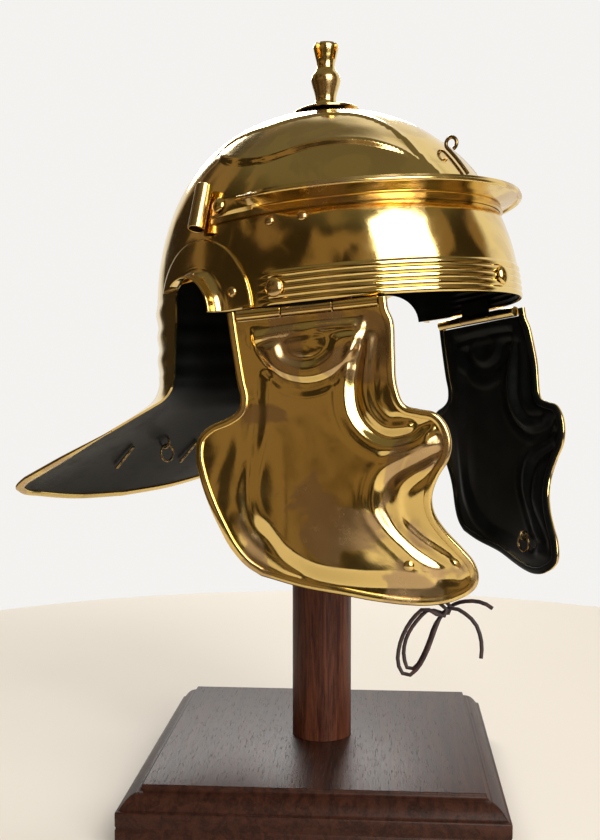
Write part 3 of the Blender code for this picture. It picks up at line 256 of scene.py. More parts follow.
# Rings, handle and split pins
RING_RADIUS = 0.0050
RING_WIRE = 0.0008
EYE_RADIUS = 0.0026
EYE_WIRE = 0.0008
HANDLE_BACK = 0.1756
HANDLE_REACH = 0.027
HANDLE_RADIUS = 0.0020
HANDLE_FOOT = 0.0316
EYE_SPAN = 0.0040
PIN_WIRE = 0.0010
PIN_LEG = 0.012
GUARD_RING_BACK = 0.166
GUARD_RING_RADIUS = 0.0060
STAPLE_SPAN = 0.0045
STAPLE_DEPTH = 0.0045

# Thong: forward, down and outward in the right cheek piece's frame
THONG_RADIUS = 0.0011
THONG_OUTER_ROUTE = (
    (0.0440, 0.1503, -0.0126), (0.0440, 0.1513, -0.0153), (0.0449, 0.1538, -0.0171),
    (0.0484, 0.1578, -0.0186), (0.0535, 0.1617, -0.0201), (0.0585, 0.1660, -0.0205),
    (0.0630, 0.1698, -0.0204), (0.0628, 0.1732, -0.0194), (0.0580, 0.1722, -0.0180),
    (0.0517, 0.1689, -0.0179), (0.0451, 0.1737, -0.0179), (0.0395, 0.1812, -0.0179),
    (0.0358, 0.1896, -0.0180), (0.0344, 0.1980, -0.0183), (0.0362, 0.2040, -0.0187),
    (0.0400, 0.2054, -0.0190), (0.0454, 0.2010, -0.0191), (0.0511, 0.1919, -0.0191),
    (0.0556, 0.1818, -0.0196), (0.0590, 0.1743, -0.0224), (0.0630, 0.1704, -0.0234),
    (0.0676, 0.1700, -0.0226), (0.0733, 0.1730, -0.0211), (0.0780, 0.1778, -0.0203),
    (0.0803, 0.1845, -0.0200), (0.0807, 0.1910, -0.0197), (0.0799, 0.1965, -0.0194),
)
THONG_INNER_ROUTE = (
    (0.0473, 0.1502, -0.0127), (0.0474, 0.1511, -0.0156), (0.0485, 0.1535, -0.0192),
    (0.0514, 0.1575, -0.0223), (0.0555, 0.1618, -0.0243), (0.0602, 0.1655, -0.0258),
    (0.0642, 0.1692, -0.0264), (0.0636, 0.1728, -0.0261), (0.0586, 0.1726, -0.0254),
    (0.0527, 0.1706, -0.0236), (0.0468, 0.1752, -0.0220), (0.0412, 0.1822, -0.0211),
    (0.0380, 0.1896, -0.0210), (0.0374, 0.1970, -0.0212), (0.0394, 0.2028, -0.0217),
    (0.0436, 0.2012, -0.0219), (0.0481, 0.1946, -0.0220), (0.0519, 0.1869, -0.0226),
    (0.0548, 0.1796, -0.0254), (0.0584, 0.1748, -0.0286), (0.0626, 0.1708, -0.0294),
    (0.0672, 0.1681, -0.0274), (0.0730, 0.1666, -0.0250), (0.0790, 0.1665, -0.0234),
    (0.0840, 0.1679, -0.0224), (0.0877, 0.1703, -0.0218),
)

# Stand
BASE_SIDE = 0.196
BASE_THICKNESS = 0.034
BASE_MOULDING = 0.013
BASE_TURN = math.radians(35.4)
POST_RADIUS = 0.019
POST_HEAD_SAG = 0.006
# share of the moulding's reach, share of the base's thickness
BASE_PROFILE = (
    (0.00, 1.00), (0.02, 0.93), (0.14, 0.91), (0.38, 0.87), (0.62, 0.79), (0.80, 0.70), (0.86, 0.665),
    (1.00, 0.65), (1.00, 0.42), (0.95, 0.385), (1.00, 0.35), (1.00, 0.00),
)

# Camera
CAMERA_PLACE = (-0.566, -0.4498, 0.2758)
CAMERA_AZIMUTH = math.radians(-50.4)
CAMERA_PITCH = math.radians(-2.97)
CAMERA_LENS = 48.17

# Room: each light's place, width, height, watts and colour; the way from the pale wall into the room
LIGHTS = {
    "window": ((-0.66, -1.52, 0.95), 1.15, 1.6, 40.0, (1.0, 0.97, 0.92)),
    "back_light": ((1.3, 1.4, 1.35), 1.3, 0.7, 30.0, (1.0, 0.98, 0.95)),
}
LIGHTS_AIM = (0.0, 0.0, 0.28)
AWAY_FROM_WALL = (-0.967, -0.251, -0.03)
FLOOR_RADIUS = 0.62

HELMET = Matrix.Translation((0.0, -RIM_BEFORE_POST, RIM_HEIGHT)) @ Matrix.Rotation(-HELMET_TILT, 4, "X")


def hinge_frame(side):
    turned = math.pi + HINGE_TOE if side < 0 else -HINGE_TOE
    place = (
        side * (HINGE_OUT - HINGE_BARREL * math.cos(HINGE_TOE)),
        HINGE_BACK + HINGE_BARREL * math.sin(HINGE_TOE),
        -HINGE_DROP,
    )
    return HELMET @ Matrix.Translation(place) @ Matrix.Rotation(turned, 4, "Z")


def make_camera():
    turn, pitch = CAMERA_AZIMUTH, CAMERA_PITCH
    ahead = Vector((-math.sin(turn) * math.cos(pitch), math.cos(turn) * math.cos(pitch), math.sin(pitch)))
    right = ahead.cross(Vector((0, 0, 1))).normalized()
    up = right.cross(ahead)
    data = bpy.data.cameras.new("camera")
    data.sensor_fit = "VERTICAL"
    data.sensor_height = 36.0
    data.lens = CAMERA_LENS
    camera = bpy.data.objects.new("camera", data)
    turned = Matrix((right, up, -ahead)).transposed().to_4x4()
    camera.matrix_world = Matrix.Translation(CAMERA_PLACE) @ turned
    bpy.context.scene.collection.objects.link(camera)
    bpy.context.scene.camera = camera


make_camera()


# Finishes


class Shade:
    """A number inside a finish; sums written with it become Math nodes."""

    def __init__(self, finish, socket):
        self.finish = finish
        self.socket = socket

    def maths(self, operation, *values):
        return self.finish.add("ShaderNodeMath", {"operation": operation}, dict(enumerate(values)))

    def __add__(self, other):
        return self.maths("ADD", self, other)

    def __sub__(self, other):
        return self.maths("SUBTRACT", self, other)

    def __rsub__(self, other):
        return self.maths("SUBTRACT", other, self)

    def __mul__(self, other):
        return self.maths("MULTIPLY", self, other)

    __radd__ = __add__
    __rmul__ = __mul__


class Finish:
    """A material whose pattern is in the object's own coordinates, in metres."""

    def __init__(self, name, metallic=0.0, roughness=0.5, constants=None):
        self.material = bpy.data.materials.new(name)
        self.material.use_nodes = True
        self.nodes = self.material.node_tree.nodes
        self.links = self.material.node_tree.links
        self.shader = self.nodes["Principled BSDF"]
        self.shader.inputs["Metallic"].default_value = metallic
        self.shader.inputs["Roughness"].default_value = roughness
        for words, value in (constants or {}).items():
            self.shader.inputs[words].default_value = value
        self.place = self.add("ShaderNodeTexCoord", output="Object")

    def add(self, kind, settings=None, values=None, output=0):
        """A node of a kind, with its settings first and then its sockets' values or links."""
        made = self.nodes.new(kind)
        for name, setting in (settings or {}).items():
            setattr(made, name, setting)
        for name, value in (values or {}).items():
            self.feed(made.inputs[name], value)
        return Shade(self, made.outputs[output])

    def feed(self, socket, value):
        if isinstance(value, Shade):
            self.links.new(value.socket, socket)
        else:
            socket.default_value = value

    def turned(self, scale=(1, 1, 1), turn=(0, 0, 0)):
        """The piece's coordinates, turned and then stretched."""
        level = self.add("ShaderNodeMapping", values={"Vector": self.place, "Rotation": turn})
        return self.add("ShaderNodeMapping", values={"Vector": level, "Scale": scale})

    def noise(self, scale, detail=3.0, rough=0.5, warp=0.0, place=None):
        sizes = {"Scale": scale, "Detail": detail, "Roughness": rough, "Distortion": warp}
        return self.add("ShaderNodeTexNoise", values={"Vector": place or self.place, **sizes})

    def step(self, value, low, high):
        sizes = {"Value": value, "From Min": low, "From Max": high}
        return self.add("ShaderNodeMapRange", {"interpolation_type": "SMOOTHSTEP"}, sizes)

    def mix(self, share, first, second):
        """A colour between two colours."""
        colours = {0: share, 6: self.colour(first), 7: self.colour(second)}
        return self.add("ShaderNodeMix", {"data_type": "RGBA"}, colours, output=2)

    @staticmethod
    def colour(value):
        return value if isinstance(value, Shade) else (*value, 1.0)

    def wear(self, colour=None, roughness=None, height=None, depth=0.001):
        """Feeds the shader with what changes over the surface."""
        if colour is not None:
            self.feed(self.shader.inputs["Base Color"], self.colour(colour))
        if roughness is not None:
            self.feed(self.shader.inputs["Roughness"], roughness)
        if height is not None:
            bump = {"Strength": 1.0, "Distance": depth, "Height": height}
            self.feed(self.shader.inputs["Normal"], self.add("ShaderNodeBump", values=bump))
        return self.material


BRIGHT = (0.88, 0.66, 0.25)
WARM = (0.74, 0.50, 0.15)
DULL = (0.50, 0.33, 0.19)


def brass(name, smooth, stained, waviness):
    """Sheet brass, buffed by hand: slow waves left by the hammer, faint haze and tarnish in patches."""
    finish = Finish(name, metallic=1.0)
    patches = finish.noise(19.0, detail=4.0, rough=0.5, warp=1.0)
    stain = finish.step(patches, 0.51, 0.57)
    haze = finish.step(finish.noise(95.0, detail=4.0, rough=0.6), 0.40, 0.75)
    buffing = finish.noise(1.0, detail=2.0, place=finish.turned((1600.0, 240.0, 420.0), (0.5, 0.2, 0.7)))
    warmth = finish.step(finish.noise(9.0, detail=2.0), 0.35, 0.7)
    colour = finish.mix(warmth * 0.55, BRIGHT, WARM)
    colour = finish.mix(stain * stained, colour, DULL)
    roughness = smooth + stain * (0.16 * stained) + haze * 0.05 + buffing * 0.03
    height = finish.noise(30.0, detail=1.5) * 1.0 + buffing * 0.012 + haze * 0.01
    return finish.wear(colour, roughness, height, waviness)


def old_wire():
    finish = Finish("old_brass_wire", metallic=1.0)
    grime = finish.step(finish.noise(420.0, detail=4.0), 0.42, 0.62)
    colour = finish.mix(grime, (0.36, 0.24, 0.09), (0.11, 0.075, 0.035))
    return finish.wear(colour, 0.24 + grime * 0.22, grime, 0.00005)


def black_paint():
    """Brushed gloss black, a little dusty, with thin spots at fine scale."""
    finish = Finish("black_paint", constants={"Specular IOR Level": 0.09})
    dust = finish.step(finish.noise(60.0, detail=5.0, rough=0.65), 0.45, 0.8)
    brushed = finish.noise(1.0, detail=2.0, place=finish.turned((160.0, 160.0, 1400.0), (0.15, 0.1, 0.0)))
    colour = finish.mix(dust, (0.0060, 0.0070, 0.0070), (0.012, 0.013, 0.012))
    return finish.wear(colour, 0.36 + dust * 0.12 + brushed * 0.05, brushed + dust * 0.4, 0.00005)


def hardwood(name, turn, along, dark, light, red):
    """Stained wood: long grain, pores and a few darker bands. along is the grain's stretch."""
    wax = {"Specular IOR Level": 0.16, "Coat Weight": 0.05, "Coat Roughness": 0.25}
    finish = Finish(name, constants=wax)
    board = finish.turned(along, turn)
    bands = finish.noise(1.0, detail=3.0, rough=0.6, warp=1.1, place=board)
    fibre = finish.noise(5.0, detail=4.0, rough=0.7, place=board)
    pores = finish.step(finish.noise(11.0, detail=2.0, rough=0.8, place=board), 0.60, 0.70)
    colour = finish.mix(finish.step(bands, 0.34, 0.66), dark, light)
    colour = finish.mix(finish.step(fibre, 0.42, 0.72) * 0.45, colour, red)
    colour = finish.mix(pores * 0.75, colour, (0.010, 0.004, 0.003))
    roughness = 0.34 + fibre * 0.16 + pores * 0.15
    return finish.wear(colour, roughness, fibre * 0.5 - pores * 0.8, 0.00012)


def thong_leather():
    finish = Finish("thong_leather")
    grain = finish.noise(900.0, detail=3.0)
    worn = finish.step(finish.noise(130.0, detail=4.0), 0.45, 0.7)
    colour = finish.mix(worn, (0.022, 0.010, 0.012), (0.060, 0.028, 0.024))
    return finish.wear(colour, 0.50 + grain * 0.2, grain, 0.00012)


def pale_floor():
    finish = Finish("pale_floor")
    cloud = finish.noise(3.0, detail=4.0)
    return finish.wear(finish.mix(cloud, (0.80, 0.74, 0.66), (0.86, 0.81, 0.74)), 0.6 + cloud * 0.15)


BRASS = brass("polished_bowl_brass", 0.075, 0.25, 0.0010)
CHEEK_BRASS = brass("stained_cheek_brass", 0.10, 0.75, 0.0012)
TRIM = brass("worn_trim_brass", 0.13, 0.55, 0.0007)
WIRE = old_wire()
BLACK = black_paint()
BASE_WOOD = hardwood(
    "base_hardwood", (0, 0, -BASE_TURN), (9.0, 130.0, 130.0), (0.020, 0.0075, 0.005), (0.048, 0.017, 0.010),
    (0.075, 0.024, 0.013),
)
POST_WOOD = hardwood(
    "post_hardwood", (0, 0, 0), (170.0, 170.0, 11.0), (0.036, 0.010, 0.006), (0.120, 0.037, 0.018),
    (0.175, 0.058, 0.029),
)
LEATHER = thong_leather()


# Tools


def through(points, count):
    """Points at equal steps along a smooth curve through the given ones."""
    points = np.array(points, float)
    steps = np.sqrt(np.linalg.norm(np.diff(points, axis=0), axis=1))
    knots = np.concatenate([[0.0], np.cumsum(steps)])
    slopes = np.gradient(points, knots, axis=0)
    fine = []
    for i, span in enumerate(np.diff(knots)):
        t = np.linspace(0.0, 1.0, 24, endpoint=False)[:, None]
        start, end = slopes[i] * span, slopes[i + 1] * span
        fine.append(
            (2 * t**3 - 3 * t**2 + 1) * points[i]
            + (t**3 - 2 * t**2 + t) * start
            + (3 * t**2 - 2 * t**3) * points[i + 1]
            + (t**3 - t**2) * end
        )
    fine.append(points[-1:])
    return evenly(np.concatenate(fine), count)


def evenly(path, count):
    walked = np.concatenate([[0.0], np.cumsum(np.linalg.norm(np.diff(path, axis=0), axis=1))])
    at = np.linspace(0.0, walked[-1], count)
    return np.stack([np.interp(at, walked, path[:, k]) for k in range(path.shape[1])], axis=1)


def smooth_table(rows, column):
    """A smooth function through one column of a table, over its first column."""
    table = np.array(rows, float)
    xs, ys = table[:, 0], table[:, column]
    slopes = np.gradient(ys, xs)

    def at(x):
        x = np.clip(x, xs[0], xs[-1])
        i = np.clip(np.searchsorted(xs, x) - 1, 0, len(xs) - 2)
        span = xs[i + 1] - xs[i]
        t = (x - xs[i]) / span
        return (
            (2 * t**3 - 3 * t**2 + 1) * ys[i]
            + (t**3 - 2 * t**2 + t) * span * slopes[i]
            + (3 * t**2 - 2 * t**3) * ys[i + 1]
            + (t**3 - t**2) * span * slopes[i + 1]
        )

    return at


def ease(x):
    x = np.clip(x, 0.0, 1.0)
    return x * x * (3.0 - 2.0 * x)


def unit(vectors):
    return vectors / np.linalg.norm(vectors, axis=-1, keepdims=True)


def to_line(points, line):
    """Distance of each point to a line of points in the plane."""
    nearest = np.full(len(points), np.inf)
    for start, end in zip(line[:-1], line[1:]):
        run = end - start
        share = np.clip((points - start) @ run / (run @ run), 0.0, 1.0)
        nearest = np.minimum(nearest, np.linalg.norm(points - start - share[:, None] * run, axis=1))
    return nearest


def inside(points, ring):
    """True for each point inside a closed ring of points in the plane."""
    found = np.zeros(len(points), bool)
    for (ax, ay), (bx, by) in zip(ring, np.roll(ring, -1, axis=0)):
        if ay == by:
            continue
        crossed = (ay > points[:, 1]) != (by > points[:, 1])
        found ^= crossed & (points[:, 0] < (bx - ax) * (points[:, 1] - ay) / (by - ay) + ax)
    return found


def grid_mesh(name, rows, keep=None, flip=False, smooth_angle=50):
    """An open surface through rows of points; keep(i, j) says which cells have a face."""
    rows = np.asarray(rows, float)
    high, wide = rows.shape[:2]
    faces = []
    for i in range(high - 1):
        for j in range(wide - 1):
            if keep is None or keep(i, j):
                a = i * wide + j
                face = (a, a + 1, a + wide + 1, a + wide)
                faces.append(face[::-1] if flip else face)
    mesh = bpy.data.meshes.new(name)
    mesh.from_pydata(rows.reshape(-1, 3).tolist(), [], faces)
    return welded(mesh, smooth_angle)


def welded(mesh, smooth_angle=50):
    """Doubles merged, loose points gone, smooth up to an angle."""
    bm = bmesh.new()
    bm.from_mesh(mesh)
    bmesh.ops.remove_doubles(bm, verts=bm.verts, dist=2e-6)
    loose = [v for v in bm.verts if not v.link_faces]
    bmesh.ops.delete(bm, geom=loose, context="VERTS")
    bmesh.ops.dissolve_degenerate(bm, dist=1e-7, edges=bm.edges)
    bm.to_mesh(mesh)
    bm.free()
    mesh.shade_smooth()
    if smooth_angle:
        mesh.set_sharp_from_angle(angle=math.radians(smooth_angle))
    return mesh


def lathe_mesh(name, profile, sides=64, place=None, smooth_angle=40):
    """A turned piece: profile of (radius, height) from its top down its outer side."""
    profile = np.array(profile, float)
    turns = np.linspace(0.0, 2 * math.pi, sides + 1)
    rows = [[(r * math.cos(t), r * math.sin(t), z) for t in turns] for r, z in profile]
    mesh = grid_mesh(name, rows, flip=True, smooth_angle=smooth_angle)
    if place is not None:
        mesh.transform(place)
    return mesh


def swept_mesh(name, path, aside, up, profile, closed=False, faces_up=None):
    """A profile of (aside, up) carried along a path; cells below faces_up get the second material."""
    sides = len(profile)
    rings = [p + a * aside_i + b * up_i for p, aside_i, up_i in zip(path, aside, up) for a, b in profile]
    faces, seconds = [], []
    count = len(path)
    for i in range(count if closed else count - 1):
        here, ahead = i * sides, (i + 1) % count * sides
        for j in range(sides):
            k = (j + 1) % sides
            faces.append((here + j, here + k, ahead + k, ahead + j))
            seconds.append(faces_up is not None and (profile[j][1] + profile[k][1]) / 2 < faces_up)
    if not closed:
        faces.append(tuple(range(sides))[::-1])
        faces.append(tuple((count - 1) * sides + j for j in range(sides)))
        seconds += [False, False]
    mesh = bpy.data.meshes.new(name)
    mesh.from_pydata([tuple(p) for p in rings], [], faces)
    mesh.polygons.foreach_set("material_index", [int(s) for s in seconds])
    bm = bmesh.new()
    bm.from_mesh(mesh)
    bmesh.ops.recalc_face_normals(bm, faces=bm.faces)
    bm.to_mesh(mesh)
    bm.free()
    mesh.shade_smooth()
    mesh.set_sharp_from_angle(angle=math.radians(50))
    return mesh


def joined(name, meshes):
    """One mesh of several, each keeping its faces' material slots."""
    bm = bmesh.new()
    for mesh in meshes:
        bm.from_mesh(mesh)
    whole = bpy.data.meshes.new(name)
    bm.to_mesh(whole)
    bm.free()
    whole.set_sharp_from_angle(angle=math.radians(45))
    return whole


def plain(obj):
    """The object's mesh with its modifiers worked in; the object itself goes."""
    graph = bpy.context.evaluated_depsgraph_get()
    mesh = bpy.data.meshes.new_from_object(obj.evaluated_get(graph))
    bpy.data.objects.remove(obj, do_unlink=True)
    return mesh


def helper(name, mesh, finishes=()):
    obj = bpy.data.objects.new(name, mesh)
    for finish in finishes:
        mesh.materials.append(finish)
    bpy.context.scene.collection.objects.link(obj)
    return obj


def thick(name, mesh, thickness, finishes):
    """A sheet given its wall; the first finish is its outer face, the last its inner one."""
    obj = helper(name, mesh, finishes)
    wall = obj.modifiers.new("wall", "SOLIDIFY")
    wall.thickness = thickness
    wall.offset = -1.0
    wall.material_offset = len(finishes) - 1
    return obj


def put(name, mesh, place, body, nodes, finishes=()):
    """A finished piece: its place goes into its mesh, and it stands for its nodes."""
    mesh.transform(place)
    mesh.name = name
    obj = bpy.data.objects.new(name, mesh)
    for finish in finishes:
        mesh.materials.append(finish)
    bpy.context.scene.collection.objects.link(obj)
    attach(obj, body)
    if nodes:
        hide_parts(*nodes)
    return obj


class Tree:
    """A Geometry Nodes tree with named inputs, made once and used for many pieces."""

    def __init__(self, name, inputs):
        self.tree = bpy.data.node_groups.new(name, "GeometryNodeTree")
        self.tree.interface.new_socket("Geometry", in_out="INPUT", socket_type="NodeSocketGeometry")
        for label, kind in inputs.items():
            self.tree.interface.new_socket(label, in_out="INPUT", socket_type=f"NodeSocket{kind}")
        self.tree.interface.new_socket("Geometry", in_out="OUTPUT", socket_type="NodeSocketGeometry")
        self.start = self.tree.nodes.new("NodeGroupInput")

    def add(self, kind, settings=None, values=None):
        made = self.tree.nodes.new(kind)
        for name, setting in (settings or {}).items():
            setattr(made, name, setting)
        for name, value in (values or {}).items():
            if isinstance(value, bpy.types.NodeSocket):
                self.tree.links.new(value, made.inputs[name])
            else:
                made.inputs[name].default_value = value
        return made.outputs[0] if made.outputs else made

    def end(self, shape):
        """Realizes the shape, smooths it and gives it its finish."""
        plain_shape = self.add("GeometryNodeRealizeInstances", values={"Geometry": shape})
        smooth = self.add("GeometryNodeSetShadeSmooth", values={"Geometry": plain_shape})
        finish = self.start.outputs["Finish"]
        done = self.add("GeometryNodeSetMaterial", values={"Geometry": smooth, "Material": finish})
        self.add("NodeGroupOutput", values={"Geometry": done})

    def make(self, name, mesh, **values):
        """The mesh that the tree makes from a mesh of points and these inputs."""
        obj = helper(name, mesh)
        change = obj.modifiers.new("tree", "NODES")
        change.node_group = self.tree
        for item in self.tree.interface.items_tree:
            if item.in_out == "INPUT" and item.name in values:
                change[item.identifier] = values[item.name]
        return plain(obj)


def rod_tree():
    """A round rod along a path of edges."""
    tree = Tree("rod_along_path", {"Radius": "Float", "Sides": "Int", "Finish": "Material"})
    path = tree.add("GeometryNodeMeshToCurve", values={"Mesh": tree.start.outputs["Geometry"]})
    sizes = {"Radius": tree.start.outputs["Radius"], "Resolution": tree.start.outputs["Sides"]}
    ring = tree.add("GeometryNodeCurvePrimitiveCircle", values=sizes)
    ends = {"Curve": path, "Profile Curve": ring, "Fill Caps": True}
    tree.end(tree.add("GeometryNodeCurveToMesh", values=ends))
    return tree


def rivet_tree():
    """A domed head on every point, turned to the point's way out and scaled to its head."""
    tree = Tree("rivet_heads", {"Rise": "Float", "Sides": "Int", "Finish": "Material"})
    sizes = {"Segments": tree.start.outputs["Sides"], "Rings": 16}
    ball = tree.add("GeometryNodeMeshUVSphere", values=sizes)
    spot = tree.add("GeometryNodeInputPosition")
    split = tree.tree.nodes.new("ShaderNodeSeparateXYZ")
    tree.tree.links.new(spot, split.inputs[0])
    above = tree.add("ShaderNodeMath", {"operation": "MAXIMUM"}, {0: split.outputs[2], 1: 0.0})
    height = tree.add("ShaderNodeMath", {"operation": "MULTIPLY"}, {0: above, 1: tree.start.outputs["Rise"]})
    parts = {"X": split.outputs[0], "Y": split.outputs[1], "Z": height}
    dome = tree.add("ShaderNodeCombineXYZ", values=parts)
    head = tree.add("GeometryNodeSetPosition", values={"Geometry": ball, "Position": dome})
    out = tree.add("GeometryNodeInputNamedAttribute", {"data_type": "FLOAT_VECTOR"}, {"Name": "out"})
    size = tree.add("GeometryNodeInputNamedAttribute", {"data_type": "FLOAT"}, {"Name": "head"})
    turned = tree.add("FunctionNodeAlignRotationToVector", {"axis": "Z"}, {"Vector": out})
    spread = {"Points": tree.start.outputs["Geometry"], "Instance": head, "Rotation": turned, "Scale": size}
    tree.end(tree.add("GeometryNodeInstanceOnPoints", values=spread))
    return tree


ROD = rod_tree()
RIVET = rivet_tree()


def path_mesh(points, cyclic=False):
    mesh = bpy.data.meshes.new("path")
    edges = [(i, i + 1) for i in range(len(points) - 1)]
    if cyclic:
        edges.append((len(points) - 1, 0))
    mesh.from_pydata([tuple(p) for p in points], edges, [])
    return mesh


def rod(name, points, radius, finish, sides=20, cyclic=False):
    return ROD.make(name, path_mesh(points, cyclic), Radius=radius, Sides=sides, Finish=finish)


def rivet_heads(name, rows, finish, sides=32):
    """rows: place, way out and radius of each head."""
    mesh = bpy.data.meshes.new(name)
    mesh.from_pydata([tuple(place) for place, _, _ in rows], [], [])
    out = mesh.attributes.new("out", "FLOAT_VECTOR", "POINT")
    out.data.foreach_set("vector", np.array([way for _, way, _ in rows], float).ravel())
    head = mesh.attributes.new("head", "FLOAT", "POINT")
    head.data.foreach_set("value", [radius for _, _, radius in rows])
    heads = RIVET.make(name, mesh, Rise=RIVET_RISE, Sides=sides, Finish=finish)
    heads.set_sharp_from_angle(angle=math.radians(40))
    return heads


def ring_path(radius, place, turned, count=40):
    turns = np.linspace(0.0, 2 * math.pi, count, endpoint=False)
    flat = [Vector((radius * math.cos(t), radius * math.sin(t), 0.0)) for t in turns]
    return [turned @ spot + Vector(place) for spot in flat]


# The bowl's surface, in the helmet's frame


def level(z):
    share = np.clip(z / BOWL_HEIGHT, 0.0, 1.0)
    return (1.0 - share**BOWL_SHOULDER) ** (1.0 / BOWL_CROWN), BOWL_LEAN * share**2


def on_nape(angle):
    return np.abs(angle) > GUARD_SIDE_ANGLE - 1e-6


def bowl_point(angle, z):
    angle, z = np.broadcast_arrays(np.asarray(angle, float), np.asarray(z, float))
    scale, shift = level(z)
    below = np.clip(-z / NAPE_DROP, 0.0, 1.0)
    lean = (math.pi - np.abs(angle)) / (math.pi - GUARD_SIDE_ANGLE) * GUARD_SIDE_LEAN * below
    turned = angle + np.where(on_nape(angle), np.copysign(lean, angle), 0.0)
    length = np.where(np.cos(turned) > 0, BOWL_FRONT, BOWL_BACK + NAPE_FLARE * below)
    x, y = BOWL_HALF_WIDTH * scale * np.sin(turned), shift - length * scale * np.cos(turned)
    return np.stack([x, y, z], axis=-1)


def bowl_normal(angle, z):
    angle, z = np.broadcast_arrays(np.asarray(angle, float), np.asarray(z, float))
    step = 1e-4
    safe = np.minimum(z, BOWL_HEIGHT * 0.995)
    along = bowl_point(angle + step, safe) - bowl_point(angle - step, safe)
    up = bowl_point(angle, safe + step) - bowl_point(angle, safe - step)
    normal = np.cross(along, up)
    top = np.clip((z / BOWL_HEIGHT - 0.985) / 0.01, 0.0, 1.0)[..., None]
    return unit((1 - top) * unit(normal) + top * np.array([0.0, 0.0, 1.0]))


def eyebrow_line(rows):
    return through(np.array(rows) * (EYEBROW_DEGREE, BOWL_HEIGHT), 160)


def eyebrow_swell(angle, z):
    """Height of the two eyebrows: a rolled lower edge, a hollow leaf above it and a crisp line on top."""
    spots = np.stack([np.abs(np.degrees(angle)) * EYEBROW_DEGREE, z], axis=-1).reshape(-1, 2)
    low, top = eyebrow_line(EYEBROW_LOW), eyebrow_line(EYEBROW_TOP)
    to_low, to_top = to_line(spots, low), to_line(spots, top)
    within = inside(spots, np.concatenate([low, top[::-1]]))
    share = to_low / np.maximum(to_low + to_top, 1e-6)
    size = np.clip((to_low + to_top) / 0.005, 0.0, 1.0)
    leaf = EYEBROW_RISE * (1 - share) ** 1.2 * ease(to_low / EYEBROW_STEP + 0.25) * size
    leaf -= EYEBROW_HOLLOW * np.sin(math.pi * share ** 0.7) * size
    edge = EYEBROW_RISE * ease(0.25 - to_low / EYEBROW_STEP) * size
    crown = 0.0009 * np.exp(-((to_top / 0.0035) ** 2)) * size
    swell = np.where(within, leaf, np.where(to_low < to_top, edge, crown))
    return swell.reshape(np.shape(angle))


def bowl_surface(angle, z):
    """The smooth bowl with its eyebrows, its ribbed band and its ribbed nape."""
    angle, z = np.broadcast_arrays(np.asarray(angle, float), np.asarray(z, float))
    relief = eyebrow_swell(angle, z) if np.max(z) > 0.45 * BOWL_HEIGHT else np.zeros(np.shape(angle))
    ribs = RIB_RISE * np.abs(np.sin(math.pi * BAND_RIBS * z / BAND_HEIGHT)) ** 0.8
    fade = ease((RIBS_END - np.abs(angle)) / math.radians(2))
    relief += np.where((z > 0) & (z < BAND_HEIGHT), ribs * fade, 0.0)
    share = (NAPE_RIBS_TOP - z) / (NAPE_RIBS_TOP + NAPE_DROP)
    fade = ease((np.abs(angle) - GUARD_SIDE_ANGLE) / math.radians(10))
    ribs = NAPE_RIB_RISE * np.sin(math.pi * NAPE_RIBS * share) ** 2
    relief += np.where(on_nape(angle) & (z > -NAPE_DROP) & (z < NAPE_RIBS_TOP), ribs * fade, 0.0)
    return bowl_point(angle, z) + relief[..., None] * bowl_normal(angle, z)


GUARD_TABLES = [smooth_table(GUARD_EDGE, column) for column in (1, 2, 3)]


def guard_edge(angle):
    share = (np.abs(angle) - GUARD_SIDE_ANGLE) / (math.pi - GUARD_SIDE_ANGLE)
    width, reach, drop = (table(share) for table in GUARD_TABLES)
    parts = (np.copysign(width * GUARD_HALF_WIDTH, angle), reach * GUARD_REACH, -drop * GUARD_DROP)
    return np.stack(parts, axis=-1)


def guard_point(angle, share):
    """From the foot of the nape to the guard's edge, with a hollow bend between them."""
    angle, share = np.broadcast_arrays(np.asarray(angle, float), np.asarray(share, float))
    start = bowl_point(angle, GUARD_FILLET - NAPE_DROP)
    corner = bowl_point(angle, -NAPE_DROP)
    edge = guard_edge(angle)
    bend = (GUARD_FILLET / np.linalg.norm(edge - corner, axis=-1))[..., None]
    turned = corner + bend * (edge - corner)
    share = share[..., None]
    t = np.clip(share / bend, 0.0, 1.0)
    curve = (1 - t) ** 2 * start + 2 * t * (1 - t) * corner + t**2 * turned
    return np.where(share < bend, curve, corner + share * (edge - corner))


def guard_height(x, back):
    angle = math.pi - abs(x) / GUARD_HALF_WIDTH * (math.pi - GUARD_SIDE_ANGLE)
    near, far = guard_point(angle, 0.25), guard_point(angle, 1.0)
    return near[2] + (back - near[1]) / (far[1] - near[1]) * (far[2] - near[2])


def bowl_angle(back, z):
    scale, shift = level(z)
    length = BOWL_BACK if back > shift else BOWL_FRONT
    return math.acos(max(-1.0, min(1.0, -(back - shift) / (length * scale))))


def bowl_side(back, z):
    scale, shift = level(z)
    length = BOWL_BACK if back > shift else BOWL_FRONT
    return BOWL_HALF_WIDTH * math.sqrt(max(scale**2 - ((back - shift) / length) ** 2, 0.0))


